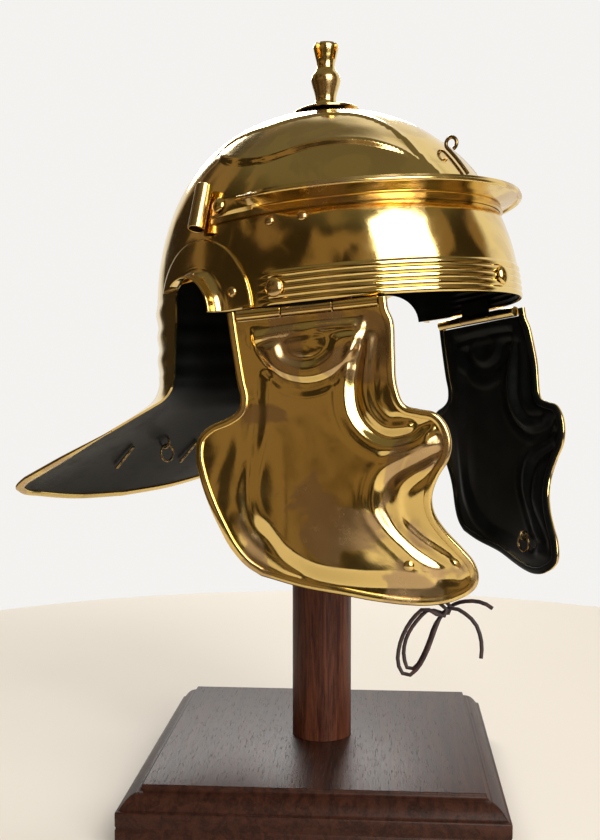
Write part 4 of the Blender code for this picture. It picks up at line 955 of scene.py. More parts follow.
def ear_cutter():
    """A solid through both walls with the ear openings' outline."""
    quarter = np.linspace(0.0, 0.5 * math.pi, 13)
    arch = EAR_ARCH_BACK - EAR_FRONT
    outline = [(EAR_FRONT, -EAR_CORNER)]
    outline += [(EAR_ARCH_BACK - arch * math.cos(t), EAR_HEIGHT * math.sin(t)) for t in quarter]
    middle = (EAR_REAR - 1.3 * EAR_CORNER, EAR_HEIGHT - EAR_CORNER)
    rounding = [(EAR_CORNER * math.sin(t), EAR_CORNER * math.cos(t)) for t in quarter]
    outline += [(middle[0] + back, middle[1] + up) for back, up in rounding]
    outline += [(EAR_REAR, 0.0), (EAR_REAR, -EAR_CORNER)]
    bm = bmesh.new()
    reach = BOWL_HALF_WIDTH * 1.3
    face = bm.faces.new([bm.verts.new((-reach, y, z)) for y, z in outline])
    swept = bmesh.ops.extrude_face_region(bm, geom=[face])
    far = [v for v in swept["geom"] if isinstance(v, bmesh.types.BMVert)]
    bmesh.ops.translate(bm, verts=far, vec=(2 * reach, 0, 0))
    bmesh.ops.recalc_face_normals(bm, faces=bm.faces)
    mesh = bpy.data.meshes.new("ear_cutter")
    bm.to_mesh(mesh)
    bm.free()
    return helper("ear_cutter", mesh)


def cut_with(obj, cutters):
    """The object's mesh after its wall and these cuts are worked in."""
    for cutter in cutters:
        change = obj.modifiers.new("cut", "BOOLEAN")
        change.operation = "DIFFERENCE"
        change.object = cutter
    mesh = plain(obj)
    for cutter in cutters:
        bpy.data.objects.remove(cutter, do_unlink=True)
    mesh.shade_smooth()
    mesh.set_sharp_from_angle(angle=math.radians(50))
    return mesh


def make_bowl():
    side, span = GUARD_SIDE_ANGLE, math.pi - GUARD_SIDE_ANGLE
    front = np.linspace(-side, side, 171)
    corner = np.linspace(0.0, 0.16, 12, endpoint=False)
    half = side + span * np.concatenate([corner, np.linspace(0.16, 1.0, 25)])
    angles = np.concatenate([front, half[1:], 2 * math.pi - half[-2::-1]])
    ahead = len(front) - 1
    angles = np.where(angles > math.pi, angles - 2 * math.pi, angles)
    sizes = np.sin(0.5 * math.pi * np.linspace(0.0, 1.0, 90))
    crown = BOWL_HEIGHT * (1 - sizes**BOWL_CROWN) ** (1 / BOWL_SHOULDER)
    crown = crown[crown > 0.905 * BOWL_HEIGHT]
    brows = BOWL_HEIGHT * np.linspace(0.90, 0.51, 66)
    wall = np.linspace(0.50 * BOWL_HEIGHT, BAND_HEIGHT * 1.02, 16)
    band = np.linspace(BAND_HEIGHT, 0.0, 36)
    heights = np.concatenate([crown, brows, wall, band])
    nape = np.linspace(0.0, GUARD_FILLET - NAPE_DROP, 33)[1:]
    shares = np.concatenate([np.linspace(0.015, 0.16, 12), np.linspace(0.2, 1.0, 16)])
    rows = [bowl_surface(angles, z) for z in heights]
    upper = len(rows) - 1
    rows += [bowl_surface(angles, z) for z in nape]
    flat = bowl_point(angles, 0.0)
    for share in shares:
        rows.append(np.where(on_nape(angles)[:, None], guard_point(angles, share), flat))
    mesh = grid_mesh("bowl_sheet", rows, lambda i, j: i < upper or j >= ahead, flip=True, smooth_angle=0)
    mesh = cut_with(thick("bowl_sheet", mesh, SHEET, (BRASS, BLACK)), [ear_cutter()])
    put("bowl_sheet", mesh, HELMET, "helmet_on_stand", ["bowl"])


def guard_rim(count=70):
    """Points along the guard's free edge, with the way off the sheet and the way up."""
    side = GUARD_SIDE_ANGLE
    outer = [guard_point(side, share) for share in np.linspace(0.4, 0.985, 14)]
    inner = [guard_point(side + 0.25, share) for share in np.linspace(0.4, 0.985, 14)]
    shares = np.concatenate([np.linspace(0.0, 0.16, 12, endpoint=False), np.linspace(0.16, 1.0, count // 2)])
    angles = side + shares * (math.pi - side)
    outer += list(guard_point(angles, 1.0))
    inner += list(guard_point(side + (0.2 + 0.8 * shares) * (math.pi - side), 0.8))
    outer += [p * (-1, 1, 1) for p in outer[-2::-1]]
    inner += [p * (-1, 1, 1) for p in inner[-2::-1]]
    outer, inner = np.array(outer), np.array(inner)
    along = unit(np.gradient(outer, axis=0))
    away = outer - inner
    away = unit(away - (away * along).sum(axis=1)[:, None] * along)
    up = unit(np.cross(along, away))
    up = np.where(up[:, 2:] < 0, -up, up)
    return outer, away, up


def folded_strip(outer, inner, half, lip):
    """Section of a strip folded over a sheet's edge."""
    turns = np.linspace(-0.5 * math.pi, 0.5 * math.pi, 9)
    middle = outer - half
    bend = [(middle + half * math.cos(t), half * math.sin(t)) for t in turns]
    over = [(-inner + 0.5 * lip, half), (-inner + 0.1 * lip, 0.85 * half), (-inner, 0.6 * half)]
    return bend + over + [(a, -b) for a, b in over[::-1]]


def make_guard_edging():
    points, away, up = guard_rim()
    path = points - up * (SHEET / 2)
    walked = np.arange(len(path))
    grown = ease(0.3 + np.minimum(walked, walked[::-1]) / 12.0)[:, None]
    away, up = away * grown, up * grown
    section = folded_strip(2 * GUARD_EDGE_RADIUS + SEAT, *GUARD_FOLD)
    mesh = swept_mesh("guard_edging_strip", path, away, up, section, faces_up=-0.0009)
    put("guard_edging_strip", mesh, HELMET, "helmet_on_stand", ["guard_edging"], finishes=(TRIM, TRIM))


def make_peak():
    angles = np.linspace(-PEAK_END, PEAK_END, 161)
    full = ease((PEAK_END - np.abs(angles)) / PEAK_TAPER)
    lip = PEAK_LIP * (PEAK_LIP_AT_END * full + (1 - PEAK_LIP_AT_END) * full**2)
    rise = PEAK_RISE * full + PEAK_TAB * (1 - full)
    out = bowl_normal(angles, PEAK_HEIGHT)
    flat = unit(out * (1, 1, 0))
    skin = SEAT + PEAK_SHEET
    lift = np.stack([0 * rise, 0 * rise, rise * full], axis=1)
    bend = bowl_point(angles, PEAK_HEIGHT)
    edge = bowl_point(angles, PEAK_HEIGHT + rise * (1 - full)) + lift
    rows = [bowl_point(angles, PEAK_HEIGHT - PEAK_FLANGE * s) + skin * out for s in (1.0, 0.66, 0.33, 0.12)]
    for t in np.linspace(0.0, 1.0, 6):
        soft = 0.06 * t * t
        rows.append(bend + (edge - bend) * soft + (skin + soft * lip[:, None]) * ((1 - t) * out + t * flat))
    for share in np.linspace(0.12, 1.0, 9):
        swell = share + 0.05 * math.sin(math.pi * share)
        up = swell if share < 1 else 1.0
        rows.append(bend + (edge - bend) * up + (skin + share * lip[:, None]) * flat)
    rows = np.array(rows).transpose(1, 0, 2)
    sheet = grid_mesh("brow_peak_strip", rows, flip=True, smooth_angle=60)
    sheet = plain(thick("brow_peak_strip", sheet, PEAK_SHEET, (TRIM,)))
    wide = lip > PEAK_BEADED_FROM
    rim = rows[wide, -1] - flat[wide] * PEAK_BEAD * 0.8 - np.array([0, 0, PEAK_SHEET * 0.4])
    bead = rod("peak_bead", evenly(rim, 140), PEAK_BEAD, TRIM, sides=16)
    mesh = joined("brow_peak_strip", [sheet, bead])
    put("brow_peak_strip", mesh, HELMET, "helmet_on_stand", ["brow_peak"], finishes=(TRIM,))


def make_ear_guard(side):
    bend = EAR_RADIUS + EAR_FLANGE_BEND
    rings = [(r, 0.0) for r in np.linspace(EAR_PLATE_RADIUS, bend, 12)]
    curve = np.linspace(0.0, 0.5 * math.pi, 10)[1:]
    rings += [(bend - EAR_FLANGE_BEND * math.sin(t), EAR_FLANGE_BEND * (1 - math.cos(t))) for t in curve]
    rings += [(EAR_RADIUS, EAR_FLANGE_BEND + (EAR_FLANGE - EAR_FLANGE_BEND) * s) for s in (0.4, 0.8, 1.0)]
    rows = []
    for share in np.linspace(0.0, 1.0, 60):
        row = []
        for radius, out in rings:
            t = share * (math.pi - math.asin(min(EAR_PLATE_END / radius, 1.0)))
            back, z = EAR_BACK - radius * math.cos(t), radius * math.sin(t)
            row.append((side * (bowl_side(back, z) + SEAT + PLATE + out), back, z))
        rows.append(row)
    node = f"ear_guard_{SIDES[side]}"
    mesh = grid_mesh(node, rows, flip=side < 0, smooth_angle=60)
    mesh = plain(thick(node, mesh, PLATE, (BRASS,)))
    put(f"{node}_plate", mesh, HELMET, "helmet_on_stand", [node])


def make_helmet_rivets():
    rows, nodes = [], ["band_rivet_front"]
    place, out = bowl_surface(0.0, BAND_HEIGHT / 2), bowl_normal(0.0, BAND_HEIGHT / 2)
    rows.append((place + SEAT * out, out, BAND_RIVET_RADIUS))
    for side, word in SIDES.items():
        for name, (back, height, radius, lift) in RIVETS.items():
            angle = side * bowl_angle(back, height)
            out = bowl_normal(angle, height)
            rows.append((bowl_surface(angle, height) + lift * out, out, radius))
            nodes.append(f"{name}_{word}")
    mesh = rivet_heads("helmet_rivets", rows, TRIM)
    put("helmet_rivets", mesh, HELMET, "helmet_on_stand", nodes)


def make_knob():
    seat_height = BOWL_HEIGHT + SEAT
    rounds = np.linspace(0.0, 0.5 * math.pi, 18)
    rise = DISC_THICKNESS - DISC_RIM
    dome = [(DISC_RADIUS * math.sin(t), DISC_RIM + rise * math.cos(t)) for t in rounds]
    place = Matrix.Translation((0.0, KNOB_BACK, seat_height))
    disc = lathe_mesh("knob_disc_turned", dome + [(DISC_RADIUS, 0.0), (0.0, 0.0)], 72, place)
    put("knob_disc_turned", disc, HELMET, "helmet_on_stand", ["knob_disc"], finishes=(BRASS,))
    foot = seat_height + DISC_THICKNESS
    outline = through([(radius, share * KNOB_HEIGHT) for share, radius in KNOB_PROFILE], 64)
    top = [(0.0, KNOB_HEIGHT), (0.80 * KNOB_TOP_RADIUS, KNOB_HEIGHT)]
    tail = [(KNOB_FOOT_RADIUS, -0.0010), (0.0, -0.0010)]
    knob = helper("crest_knob_turned", lathe_mesh("crest_knob_turned", [*top, *outline, *tail], 56), (TRIM,))
    across, depth = 4 * KNOB_TOP_RADIUS, 2 * KNOB_SLIT_DEPTH
    cutters = []
    for size in ((KNOB_SLIT_WIDTH, across, depth), (across, KNOB_SLIT_WIDTH, depth)):
        bm = bmesh.new()
        bmesh.ops.create_cube(bm, size=1.0)
        mesh = bpy.data.meshes.new("slit")
        bm.to_mesh(mesh)
        bm.free()
        mesh.transform(Matrix.Translation((0, 0, KNOB_HEIGHT)) @ Matrix.Diagonal((*size, 1.0)))
        cutters.append(helper("slit", mesh))
    mesh = cut_with(knob, cutters)
    place = HELMET @ Matrix.Translation((0.0, KNOB_BACK, foot)) @ Matrix.Rotation(KNOB_LEAN, 4, "X")
    put("crest_knob_turned", mesh, place, "helmet_on_stand", ["crest_knob"])


def make_hook():
    lift = HOOK_WIRE + 2 * SEAT
    heights = np.linspace(HOOK_FOOT_HEIGHT, HOOK_TOP_HEIGHT, 12)
    stem = list(bowl_point(0.0, heights) + lift * bowl_normal(0.0, heights))
    out = bowl_normal(0.0, HOOK_TOP_HEIGHT)
    up = np.cross((1.0, 0.0, 0.0), out)
    up = up if up[2] > 0 else -up
    centre = stem[-1] + HOOK_EYE_RADIUS * out
    turns = np.radians(np.linspace(15, 290, 28))
    eye = [centre + HOOK_EYE_RADIUS * (math.sin(t) * up - math.cos(t) * out) for t in turns]
    mesh = rod("crest_hook_wire", stem + eye, HOOK_WIRE, WIRE, sides=16)
    put("crest_hook_wire", mesh, HELMET, "helmet_on_stand", ["crest_hook"])


def make_plume_tube(side):
    half, lift = PLUME_TUBE_LENGTH / 2, PLUME_TUBE_RADIUS + SEAT
    ends = []
    for z in (PLUME_TUBE_HEIGHT - half, PLUME_TUBE_HEIGHT + half):
        angle = side * bowl_angle(PLUME_TUBE_BACK, z)
        ends.append(Vector(bowl_point(angle, z) + lift * bowl_normal(angle, z)))
    angle = side * bowl_angle(PLUME_TUBE_BACK, PLUME_TUBE_HEIGHT)
    middle = Vector(bowl_point(angle, PLUME_TUBE_HEIGHT) + lift * bowl_normal(angle, PLUME_TUBE_HEIGHT))
    turned = (ends[1] - ends[0]).to_track_quat("Z", "Y").to_matrix().to_4x4()
    r, inner, soft = PLUME_TUBE_RADIUS, PLUME_TUBE_RADIUS - PLUME_TUBE_WALL, 0.0002
    profile = [(inner, half - soft), (inner + soft, half), (r - soft, half), (r, half - soft)]
    profile += [(a, -b) for a, b in profile[::-1]] + profile[:1]
    node = f"plume_tube_{SIDES[side]}"
    mesh = lathe_mesh(node, profile, 48, HELMET @ Matrix.Translation(middle) @ turned)
    put(f"{node}_rolled", mesh, Matrix(), "helmet_on_stand", [node], finishes=(TRIM,))


# The cheek pieces


def cheek_form(forward, down):
    ahead, below = forward / CHEEK_REACH, down / CHEEK_DROP
    rear = CHEEK_REAR_FLARE * ease((-ahead - 0.19) / 0.56) * np.exp(-(((below - 0.65) / 0.23) ** 2))
    chin = CHEEK_CHIN_IN * ease((below - 0.57) / 0.36) * ease((ahead + 0.125) / 1.125)
    front = CHEEK_FRONT_FLARE * ease((ahead - 0.25) / 0.35) * np.exp(-(((below - 0.25) / 0.145) ** 2))
    return rear + front - chin


def cheek_chain(distance):
    """Rear edge down, bottom edge forward and front edge up, moved in by a distance."""
    size = np.array([CHEEK_REACH, CHEEK_DROP])
    edges = (REAR_EDGE, BOTTOM_EDGE, FRONT_EDGE)
    rear, bottom, front = (through(np.array(edge) * size, 200) for edge in edges)
    whole = evenly(np.concatenate([rear, bottom[1:], front[::-1][1:]]), 600)
    along = unit(np.gradient(whole, axis=0))
    return whole - distance * np.stack([-along[:, 1], along[:, 0]], axis=1)


def rib(points, line, rise, half):
    """A rounded ridge along a line, with a shallow hollow on each side of it."""
    distance = to_line(points, through(np.array(line) * 0.001, 60)) / half
    ridge = rise * np.exp(-(distance**2) * 1.6)
    return ridge - 0.35 * rise * np.exp(-(((distance - 1.7) / 0.7) ** 2))


def raised(points, ring, rise, slope):
    """A flat rise inside a closed line, with a soft slope across it."""
    ring = np.array(ring, float) * 0.001
    closed = through(np.concatenate([ring, ring[:1]]), 220)
    distance = to_line(points, closed) * np.where(inside(points, closed), 1.0, -1.0)
    return rise * ease((distance + 0.55 * slope) / slope)


def cheek_emboss(points):
    field = raised(points, FIELD, CHEEK_FIELD_RISE, 0.0105)
    forward, down = points[:, 0] * 1000, points[:, 1] * 1000
    reach = np.hypot(forward - 2, down - 8)
    disc = 0.0022 * ease((34.5 - reach) / 4) * ease((down - 8) / 7)
    crescent = raised(points, CRESCENT, 0.0022, 0.0065)
    dome = 0.0016 * np.clip(1 - ((forward - 1) / 12) ** 2 - ((down - 21) / 8) ** 2, 0, 1)
    crease = rib(points, ((-27, 15.5), (-16, 14), (-3, 13), (16, 12.5), (28, 13)), 0.0009, 0.0022)
    ribs = rib(points, FRONT_RIB, 0.0012, 0.0032) + rib(points, FRONT_RIB_OUTER, 0.0012, 0.0032)
    ribs += rib(points, CHIN_RIB, 0.0010, 0.0032) + rib(points, CHIN_RIB_OUTER, 0.0012, 0.0032)
    ribs += rib(points, REAR_CREASE, 0.0004, 0.0040)
    return np.maximum(field, disc) + crescent + dome + crease + ribs


def cheek_local(side, forward, down, out):
    return np.stack([HINGE_BARREL + out, -side * forward, OUTLINE_ABOVE_HINGE - down], axis=-1)


def cheek_patch(columns, rows, distance):
    """Points of (forward, down) that fill the outline moved in by a distance."""
    chain = cheek_chain(distance)
    size = np.array([CHEEK_REACH, CHEEK_DROP])
    ends = (np.array(edge[-1]) * size for edge in (REAR_EDGE, FRONT_EDGE))
    low, high = (np.argmin(np.linalg.norm(chain - end, axis=1)) for end in ends)
    rear, bottom, front = chain[: low + 1], evenly(chain[low : high + 1], columns), chain[high:][::-1]
    top = CHEEK_TOP + OUTLINE_ABOVE_HINGE
    rear = evenly(rear[rear[:, 1] > top], rows)[:, None]
    front = evenly(front[front[:, 1] > top], rows)[:, None]
    s = np.linspace(0.0, 1.0, columns)[None, :, None]
    t = np.linspace(0.0, 1.0, rows)[:, None, None]
    crest = rear[:1] + s * (front[:1] - rear[:1])
    sides = (1 - s) * rear + s * front + (1 - t) * crest + t * bottom[None]
    corners = (1 - s) * ((1 - t) * rear[0] + t * bottom[0]) + s * ((1 - t) * front[0] + t * bottom[-1])
    return sides - corners


def make_cheek(side):
    word, place = SIDES[side], hinge_frame(side)
    body = f"{word}_cheek"
    patch = cheek_patch(96, 180, CHEEK_INSET)
    flat = patch.reshape(-1, 2)
    form = cheek_form(flat[:, 0], flat[:, 1])
    share = ease((to_line(flat, cheek_chain(0.0)[::3]) - CHEEK_PLAIN_RIM) / CHEEK_RIM_SLOPE)
    out = form * (1 - share) + (form + cheek_emboss(flat)) * share
    rows = cheek_local(side, flat[:, 0], flat[:, 1], out).reshape(*patch.shape[:2], 3)
    mesh = grid_mesh("cheek", rows, flip=side < 0, smooth_angle=0)
    mesh = plain(thick("cheek", mesh, CHEEK_SHEET, (CHEEK_BRASS, BLACK)))
    mesh.set_sharp_from_angle(angle=math.radians(60))
    put(f"cheek_sheet_{word}", mesh, place, body, [f"cheek_{word}"])
    path = evenly(cheek_chain(CHEEK_EDGE_RADIUS), 300)
    points = cheek_local(side, path[:, 0], path[:, 1], cheek_form(path[:, 0], path[:, 1]) - CHEEK_SHEET / 2)
    run = unit(np.gradient(path, axis=0))
    outer = path + 0.001 * np.stack([-run[:, 1], run[:, 0]], axis=1)
    off = cheek_local(side, outer[:, 0], outer[:, 1], cheek_form(outer[:, 0], outer[:, 1]) - CHEEK_SHEET / 2)
    along = unit(np.gradient(points, axis=0))
    away = off - points
    away = unit(away - (away * along).sum(axis=1)[:, None] * along)
    up = unit(np.cross(along, away))
    up = np.where(up[:, :1] < 0, -up, up)
    section = folded_strip(CHEEK_EDGE_RADIUS, *CHEEK_FOLD)
    mesh = swept_mesh("edging", points, away, up, section, faces_up=-0.0004)
    put(f"cheek_strip_{word}", mesh, place, body, [f"cheek_edging_{word}"], finishes=(TRIM, BLACK))


def tube(name, low, high, side, hole):
    """A barrel of the hinge between two places along it, with softened ends."""
    a, b = sorted((-side * low, -side * high))
    r, soft = HINGE_BARREL, 0.0003
    profile = [(hole, b), (r - soft, b), (r, b - soft), (r, a + soft), (r - soft, a), (hole, a), (hole, b)]
    return lathe_mesh(name, profile, 40, Matrix.Rotation(-math.pi / 2, 4, "X"))


def make_hinge(side):
    word, place = SIDES[side], hinge_frame(side)
    hole = HINGE_PIN + PIN_CLEARANCE
    spans = {"rear": (HINGE_REAR, LEAF_REAR - BARREL_GAP), "front": (LEAF_FRONT + BARREL_GAP, HINGE_FRONT)}
    for name, (low, high) in spans.items():
        node = f"cheek_barrel_{name}_{word}"
        mesh = tube(node, low, high, side, hole)
        put(f"{node}_rolled", mesh, place, f"{word}_cheek", [node], finishes=(TRIM,))
    knuckle = tube("knuckle", LEAF_REAR, LEAF_FRONT, side, hole)
    bottom = hole + 0.4 * (HINGE_BARREL - hole)
    size = (LEAF_SHEET, LEAF_FRONT - LEAF_REAR, LEAF_HEIGHT - bottom)
    along = -side * (LEAF_REAR + LEAF_FRONT) / 2
    middle = (-0.5 * LEAF_SHEET - LEAF_INSET, along, (LEAF_HEIGHT + bottom) / 2)
    bm = bmesh.new()
    bmesh.ops.create_cube(bm, size=1.0)
    sized = Matrix.Translation(middle) @ Matrix.Diagonal((*size, 1.0))
    bmesh.ops.transform(bm, matrix=sized, verts=bm.verts)
    bmesh.ops.bevel(bm, geom=list(bm.edges), offset=0.0003, segments=2, affect="EDGES")
    for face in bm.faces:
        face.material_index = 1
    plate = bpy.data.meshes.new("plate")
    bm.to_mesh(plate)
    bm.free()
    mesh = joined("leaf", [knuckle, plate])
    mesh.shade_smooth()
    mesh.set_sharp_from_angle(angle=math.radians(40))
    node = f"hinge_leaf_{word}"
    put(f"{node}_folded", mesh, place, "helmet_on_stand", [node], finishes=(TRIM, BLACK))
    ends = [(0.0, -side * y, 0.0) for y in np.linspace(HINGE_REAR, HINGE_FRONT, 3)]
    mesh = rod("pin", ends, HINGE_PIN, WIRE)
    put(f"hinge_pin_{word}_wire", mesh, place, "helmet_on_stand", [f"hinge_pin_{word}"])


def make_cheek_ring(side):
    word, place = SIDES[side], hinge_frame(side)
    body = f"{word}_cheek"
    u, v, step = CHEEK_RIVET_AHEAD, CHEEK_RIVET_DROP, 0.002
    corners = ((u, v), (u + step, v), (u, v + step))
    spots = [cheek_local(side, a, b, cheek_form(a, b) + CHEEK_FIELD_RISE) for a, b in corners]
    out = Vector(np.cross(spots[1] - spots[0], spots[2] - spots[0])).normalized()
    out = -out if out.x < 0 else out
    base = Vector(spots[0])
    mesh = rivet_heads("head", [(base - 0.0001 * out, out, CHEEK_RIVET_RADIUS)], TRIM)
    put(f"cheek_rivet_{word}_head", mesh, place, body, [f"cheek_rivet_{word}"])
    inner = base - (CHEEK_SHEET + 2 * SEAT + EYE_RADIUS + EYE_WIRE) * out
    eye = ring_path(EYE_RADIUS, inner, Matrix.Rotation(math.pi / 2, 3, "X"), 28)
    mesh = rod("eye", eye, EYE_WIRE, WIRE, sides=12, cyclic=True)
    put(f"cheek_eye_{word}_wire", mesh, place, body, [f"cheek_eye_{word}"])
    drop = RING_RADIUS - EYE_RADIUS + RING_WIRE + EYE_WIRE + SEAT
    centre = inner + Vector((-EYE_RADIUS * 0.2, 0.0, -drop - EYE_RADIUS * 0.2))
    ring = ring_path(RING_RADIUS, centre, Matrix.Rotation(math.pi / 2, 3, "Y"))
    mesh = rod("ring", ring, RING_WIRE, WIRE, sides=12, cyclic=True)
    put(f"cheek_ring_{word}_wire", mesh, place, body, [f"cheek_ring_{word}"])


def make_thong():
    """Two strands of one thong, tied in a bow under the right cheek piece's ring."""
    place = hinge_frame(-1)
    for name, route in (("outer", THONG_OUTER_ROUTE), ("inner", THONG_INNER_ROUTE)):
        path = through(route, 40)
        points = [place @ Vector(cheek_local(-1, u, v, w)) for u, v, w in path]
        data = bpy.data.curves.new(f"thong_{name}", "CURVE")
        data.dimensions = "3D"
        data.bevel_depth = THONG_RADIUS
        data.bevel_resolution = 4
        data.use_fill_caps = True
        spline = data.splines.new("POLY")
        spline.points.add(len(points) - 1)
        for point, co in zip(spline.points, points):
            point.co = (*co, 1.0)
        data.materials.append(LEATHER)
        cord = bpy.data.objects.new(f"thong_{name}_cord", data)
        bpy.context.scene.collection.objects.link(cord)
        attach(cord, "right_cheek")
        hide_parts(f"thong_{name}_loop")
        length = sum((b - a).length for a, b in zip(points, points[1:]))


# Guard fittings


def handle_path():
    half, reach = HANDLE_FOOT, HANDLE_REACH
    right = [
        (-half + EYE_SPAN, 0.0),
        (-half + 1.6 * EYE_SPAN, 0.08 * reach),
        (-0.72 * half, 0.55 * reach),
        (-0.62 * half, 0.86 * reach),
        (-0.42 * half, reach),
    ]
    corners = right + [(-x, y) for x, y in right[::-1]]
    bow = [(x, -y, 0.0) for x, y in through(corners, 70)]
    return [(-half - EYE_SPAN, 0.0, 0.0)] + bow + [(half + EYE_SPAN, 0.0, 0.0)]


def make_guard_fittings():
    low, high = HANDLE_BACK - 0.02, HANDLE_BACK + 0.02
    slope = math.atan2(guard_height(0, high) - guard_height(0, low), high - low)
    up = Vector((0.0, -math.sin(slope), math.cos(slope)))
    lean = Matrix.Rotation(slope, 4, "X")
    eye = HANDLE_RADIUS + 2 * PIN_CLEARANCE + PIN_WIRE
    foot = guard_height(HANDLE_FOOT, HANDLE_BACK)
    pivot = Vector((0.0, HANDLE_BACK, foot)) + (eye + PIN_WIRE + SEAT + SAG) * up
    mesh = rod("handle", handle_path(), HANDLE_RADIUS, TRIM, sides=24)
    place = HELMET @ Matrix.Translation(pivot) @ lean
    put("guard_handle_bow", mesh, place, "carrying_handle", ["guard_handle"])
    upright = lean.to_3x3() @ Matrix.Rotation(math.pi / 2, 3, "Y")
    for side, word in SIDES.items():
        across = Vector((side * HANDLE_FOOT, 0.0, 0.0))
        mesh = rod("eye", ring_path(eye, pivot + across, upright, 32), PIN_WIRE, WIRE, sides=12, cyclic=True)
        node = f"handle_pin_eye_{word}"
        put(f"{node}_wire", mesh, HELMET, "helmet_on_stand", [node])
        middle = Vector((side * HANDLE_FOOT, HANDLE_BACK, foot)) - (SHEET + PIN_WIRE + SEAT) * up
        legs = [(0.0, y, 0.0) for y in np.linspace(-PIN_LEG, PIN_LEG, 9)]
        mesh = rod("legs", legs, PIN_WIRE, WIRE, sides=12)
        node = f"handle_pin_legs_{word}"
        place = HELMET @ Matrix.Translation(middle) @ lean
        put(f"{node}_wire", mesh, place, "helmet_on_stand", [node])
    under = Vector((0.0, GUARD_RING_BACK, guard_height(0, GUARD_RING_BACK) - SHEET))
    turns = np.radians(np.linspace(0, -180, 19))
    arch = [(0.0, STAPLE_SPAN * math.cos(t), STAPLE_DEPTH * math.sin(t)) for t in turns]
    mesh = rod("staple", arch, RING_WIRE, WIRE, sides=12)
    place = HELMET @ Matrix.Translation(under - (SEAT + SAG) * up) @ lean
    put("guard_staple_wire", mesh, place, "helmet_on_stand", ["guard_staple"])
    hang = under - (STAPLE_DEPTH + SAG - 2 * RING_WIRE) * up - Vector((0, 0, GUARD_RING_RADIUS))
    ring = ring_path(GUARD_RING_RADIUS, hang, Matrix.Rotation(math.pi / 2, 3, "X"))
    mesh = rod("ring", ring, RING_WIRE, WIRE, sides=12, cyclic=True)
    put("guard_ring_wire", mesh, HELMET, "helmet_on_stand", ["guard_ring"])


# Stand


def make_stand():
    half, top = BASE_SIDE / 2, BASE_THICKNESS
    cove = through(BASE_PROFILE[2:6], 12)
    steps = [*BASE_PROFILE[:2], *cove, *BASE_PROFILE[6:]]
    outline = [(half + out * BASE_MOULDING, high * top) for out, high in steps]
    corners = [(1, 1), (-1, 1), (-1, -1), (1, -1), (1, 1)]
    rows = [[(0.0, 0.0, top)] * 5]
    rows += [[(x * r, y * r, z) for x, y in corners] for r, z in outline]
    rows.append([(0.0, 0.0, 0.0)] * 5)
    mesh = grid_mesh("stand_base_board", rows, flip=True, smooth_angle=30)
    obj = helper("stand_base_board", mesh, (BASE_WOOD,))
    soft = obj.modifiers.new("soft", "BEVEL")
    soft.width = 0.0008
    soft.segments = 3
    soft.limit_method = "ANGLE"
    soft.angle_limit = math.radians(32)
    mesh = plain(obj)
    mesh.set_sharp_from_angle(angle=math.radians(35))
    place = Matrix.Rotation(BASE_TURN, 4, "Z")
    put("stand_base_board", mesh, place, "helmet_on_stand", ["stand_base"])
    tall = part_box("stand_post")[1].z
    head = np.linspace(0.0, 0.5 * math.pi, 12)
    profile = [(POST_RADIUS * math.sin(t), tall - POST_HEAD_SAG * (1 - math.cos(t))) for t in head]
    profile += [(POST_RADIUS, z) for z in np.linspace(0.40, top + SEAT, 12)] + [(0.0, top + SEAT)]
    mesh = lathe_mesh("stand_post_turned", profile, 64)
    put("stand_post_turned", mesh, Matrix(), "helmet_on_stand", ["stand_post"], (POST_WOOD,))


# Room


def make_room():
    bm = bmesh.new()
    bmesh.ops.create_circle(bm, cap_ends=True, segments=96, radius=FLOOR_RADIUS)
    mesh = bpy.data.meshes.new("floor")
    bm.to_mesh(mesh)
    bm.free()
    floor = helper("floor", mesh, (pale_floor(),))
    for name, (place, wide, high, power, colour) in LIGHTS.items():
        data = bpy.data.lights.new(name, "AREA")
        data.shape = "RECTANGLE"
        data.size, data.size_y = wide, high
        data.energy = power
        data.color = colour
        light = bpy.data.objects.new(name, data)
        aim = Vector(LIGHTS_AIM) - Vector(place)
        light.visible_camera = False
        light.matrix_world = Matrix.Translation(place) @ aim.to_track_quat("-Z", "Y").to_matrix().to_4x4()
        bpy.context.scene.collection.objects.link(light)


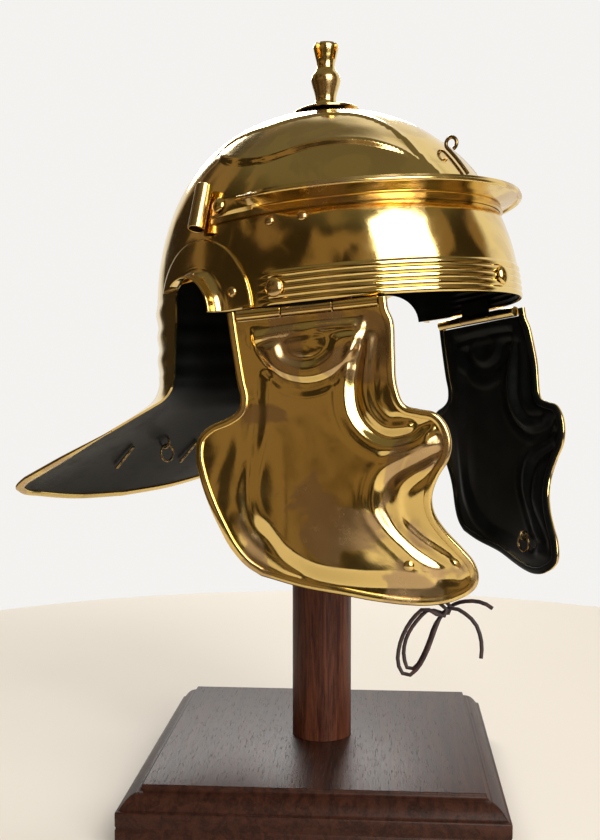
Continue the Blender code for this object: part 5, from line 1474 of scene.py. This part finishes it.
def make_world():
    """Pale walls behind, and a darker warm side that the brass can mirror."""
    world = bpy.data.worlds.new("room")
    world.use_nodes = True
    bpy.context.scene.world = world
    tree = world.node_tree
    tree.nodes.clear()

    def add(kind, settings=None, values=None, output=0):
        made = tree.nodes.new(kind)
        for name, setting in (settings or {}).items():
            setattr(made, name, setting)
        for name, value in (values or {}).items():
            if isinstance(value, bpy.types.NodeSocket):
                tree.links.new(value, made.inputs[name])
            else:
                made.inputs[name].default_value = value
        return made.outputs[output] if made.outputs else made

    way = add("ShaderNodeTexCoord", output="Generated")
    dot = {"operation": "DOT_PRODUCT"}
    toward = add("ShaderNodeVectorMath", dot, {0: way, 1: AWAY_FROM_WALL}, "Value")
    noise = add("ShaderNodeTexNoise", values={"Vector": way, "Scale": 2.4, "Detail": 2.0, "Distortion": 0.5})
    soft = {"interpolation_type": "SMOOTHSTEP"}
    patch = add("ShaderNodeMapRange", soft, {"Value": noise, "From Min": 0.50, "From Max": 0.56})
    side = add("ShaderNodeMapRange", soft, {"Value": toward, "From Min": -0.64, "From Max": -0.50})
    parts = add("ShaderNodeSeparateXYZ", values={0: way}, output=2)
    above = add("ShaderNodeMapRange", soft, {"Value": parts, "From Min": 0.55, "From Max": 0.85})
    mix = {"data_type": "RGBA"}
    warm = add("ShaderNodeMix", mix, {0: patch, 6: (0.034, 0.024, 0.013, 1), 7: (0.24, 0.16, 0.08, 1)}, 2)
    high = add("ShaderNodeMix", mix, {0: above, 6: warm, 7: (0.17, 0.15, 0.10, 1)}, 2)
    room = add("ShaderNodeMix", mix, {0: side, 6: (0.90, 0.88, 0.84, 1), 7: high}, 2)
    seen = add("ShaderNodeLightPath", output="Is Camera Ray")
    whole = add("ShaderNodeMix", mix, {0: seen, 6: room, 7: (0.90, 0.89, 0.87, 1)}, 2)
    glow = add("ShaderNodeBackground", values={"Color": whole, "Strength": 1.0})
    add("ShaderNodeOutputWorld", values={"Surface": glow})


make_thong()
make_bowl()
make_peak()
make_guard_edging()
make_helmet_rivets()
make_knob()
make_hook()
for side in SIDES:
    make_ear_guard(side)
    make_plume_tube(side)
    make_cheek(side)
    make_hinge(side)
    make_cheek_ring(side)
make_guard_fittings()
make_stand()
make_room()
make_world()
bpy.context.scene.view_settings.view_transform = "Standard"
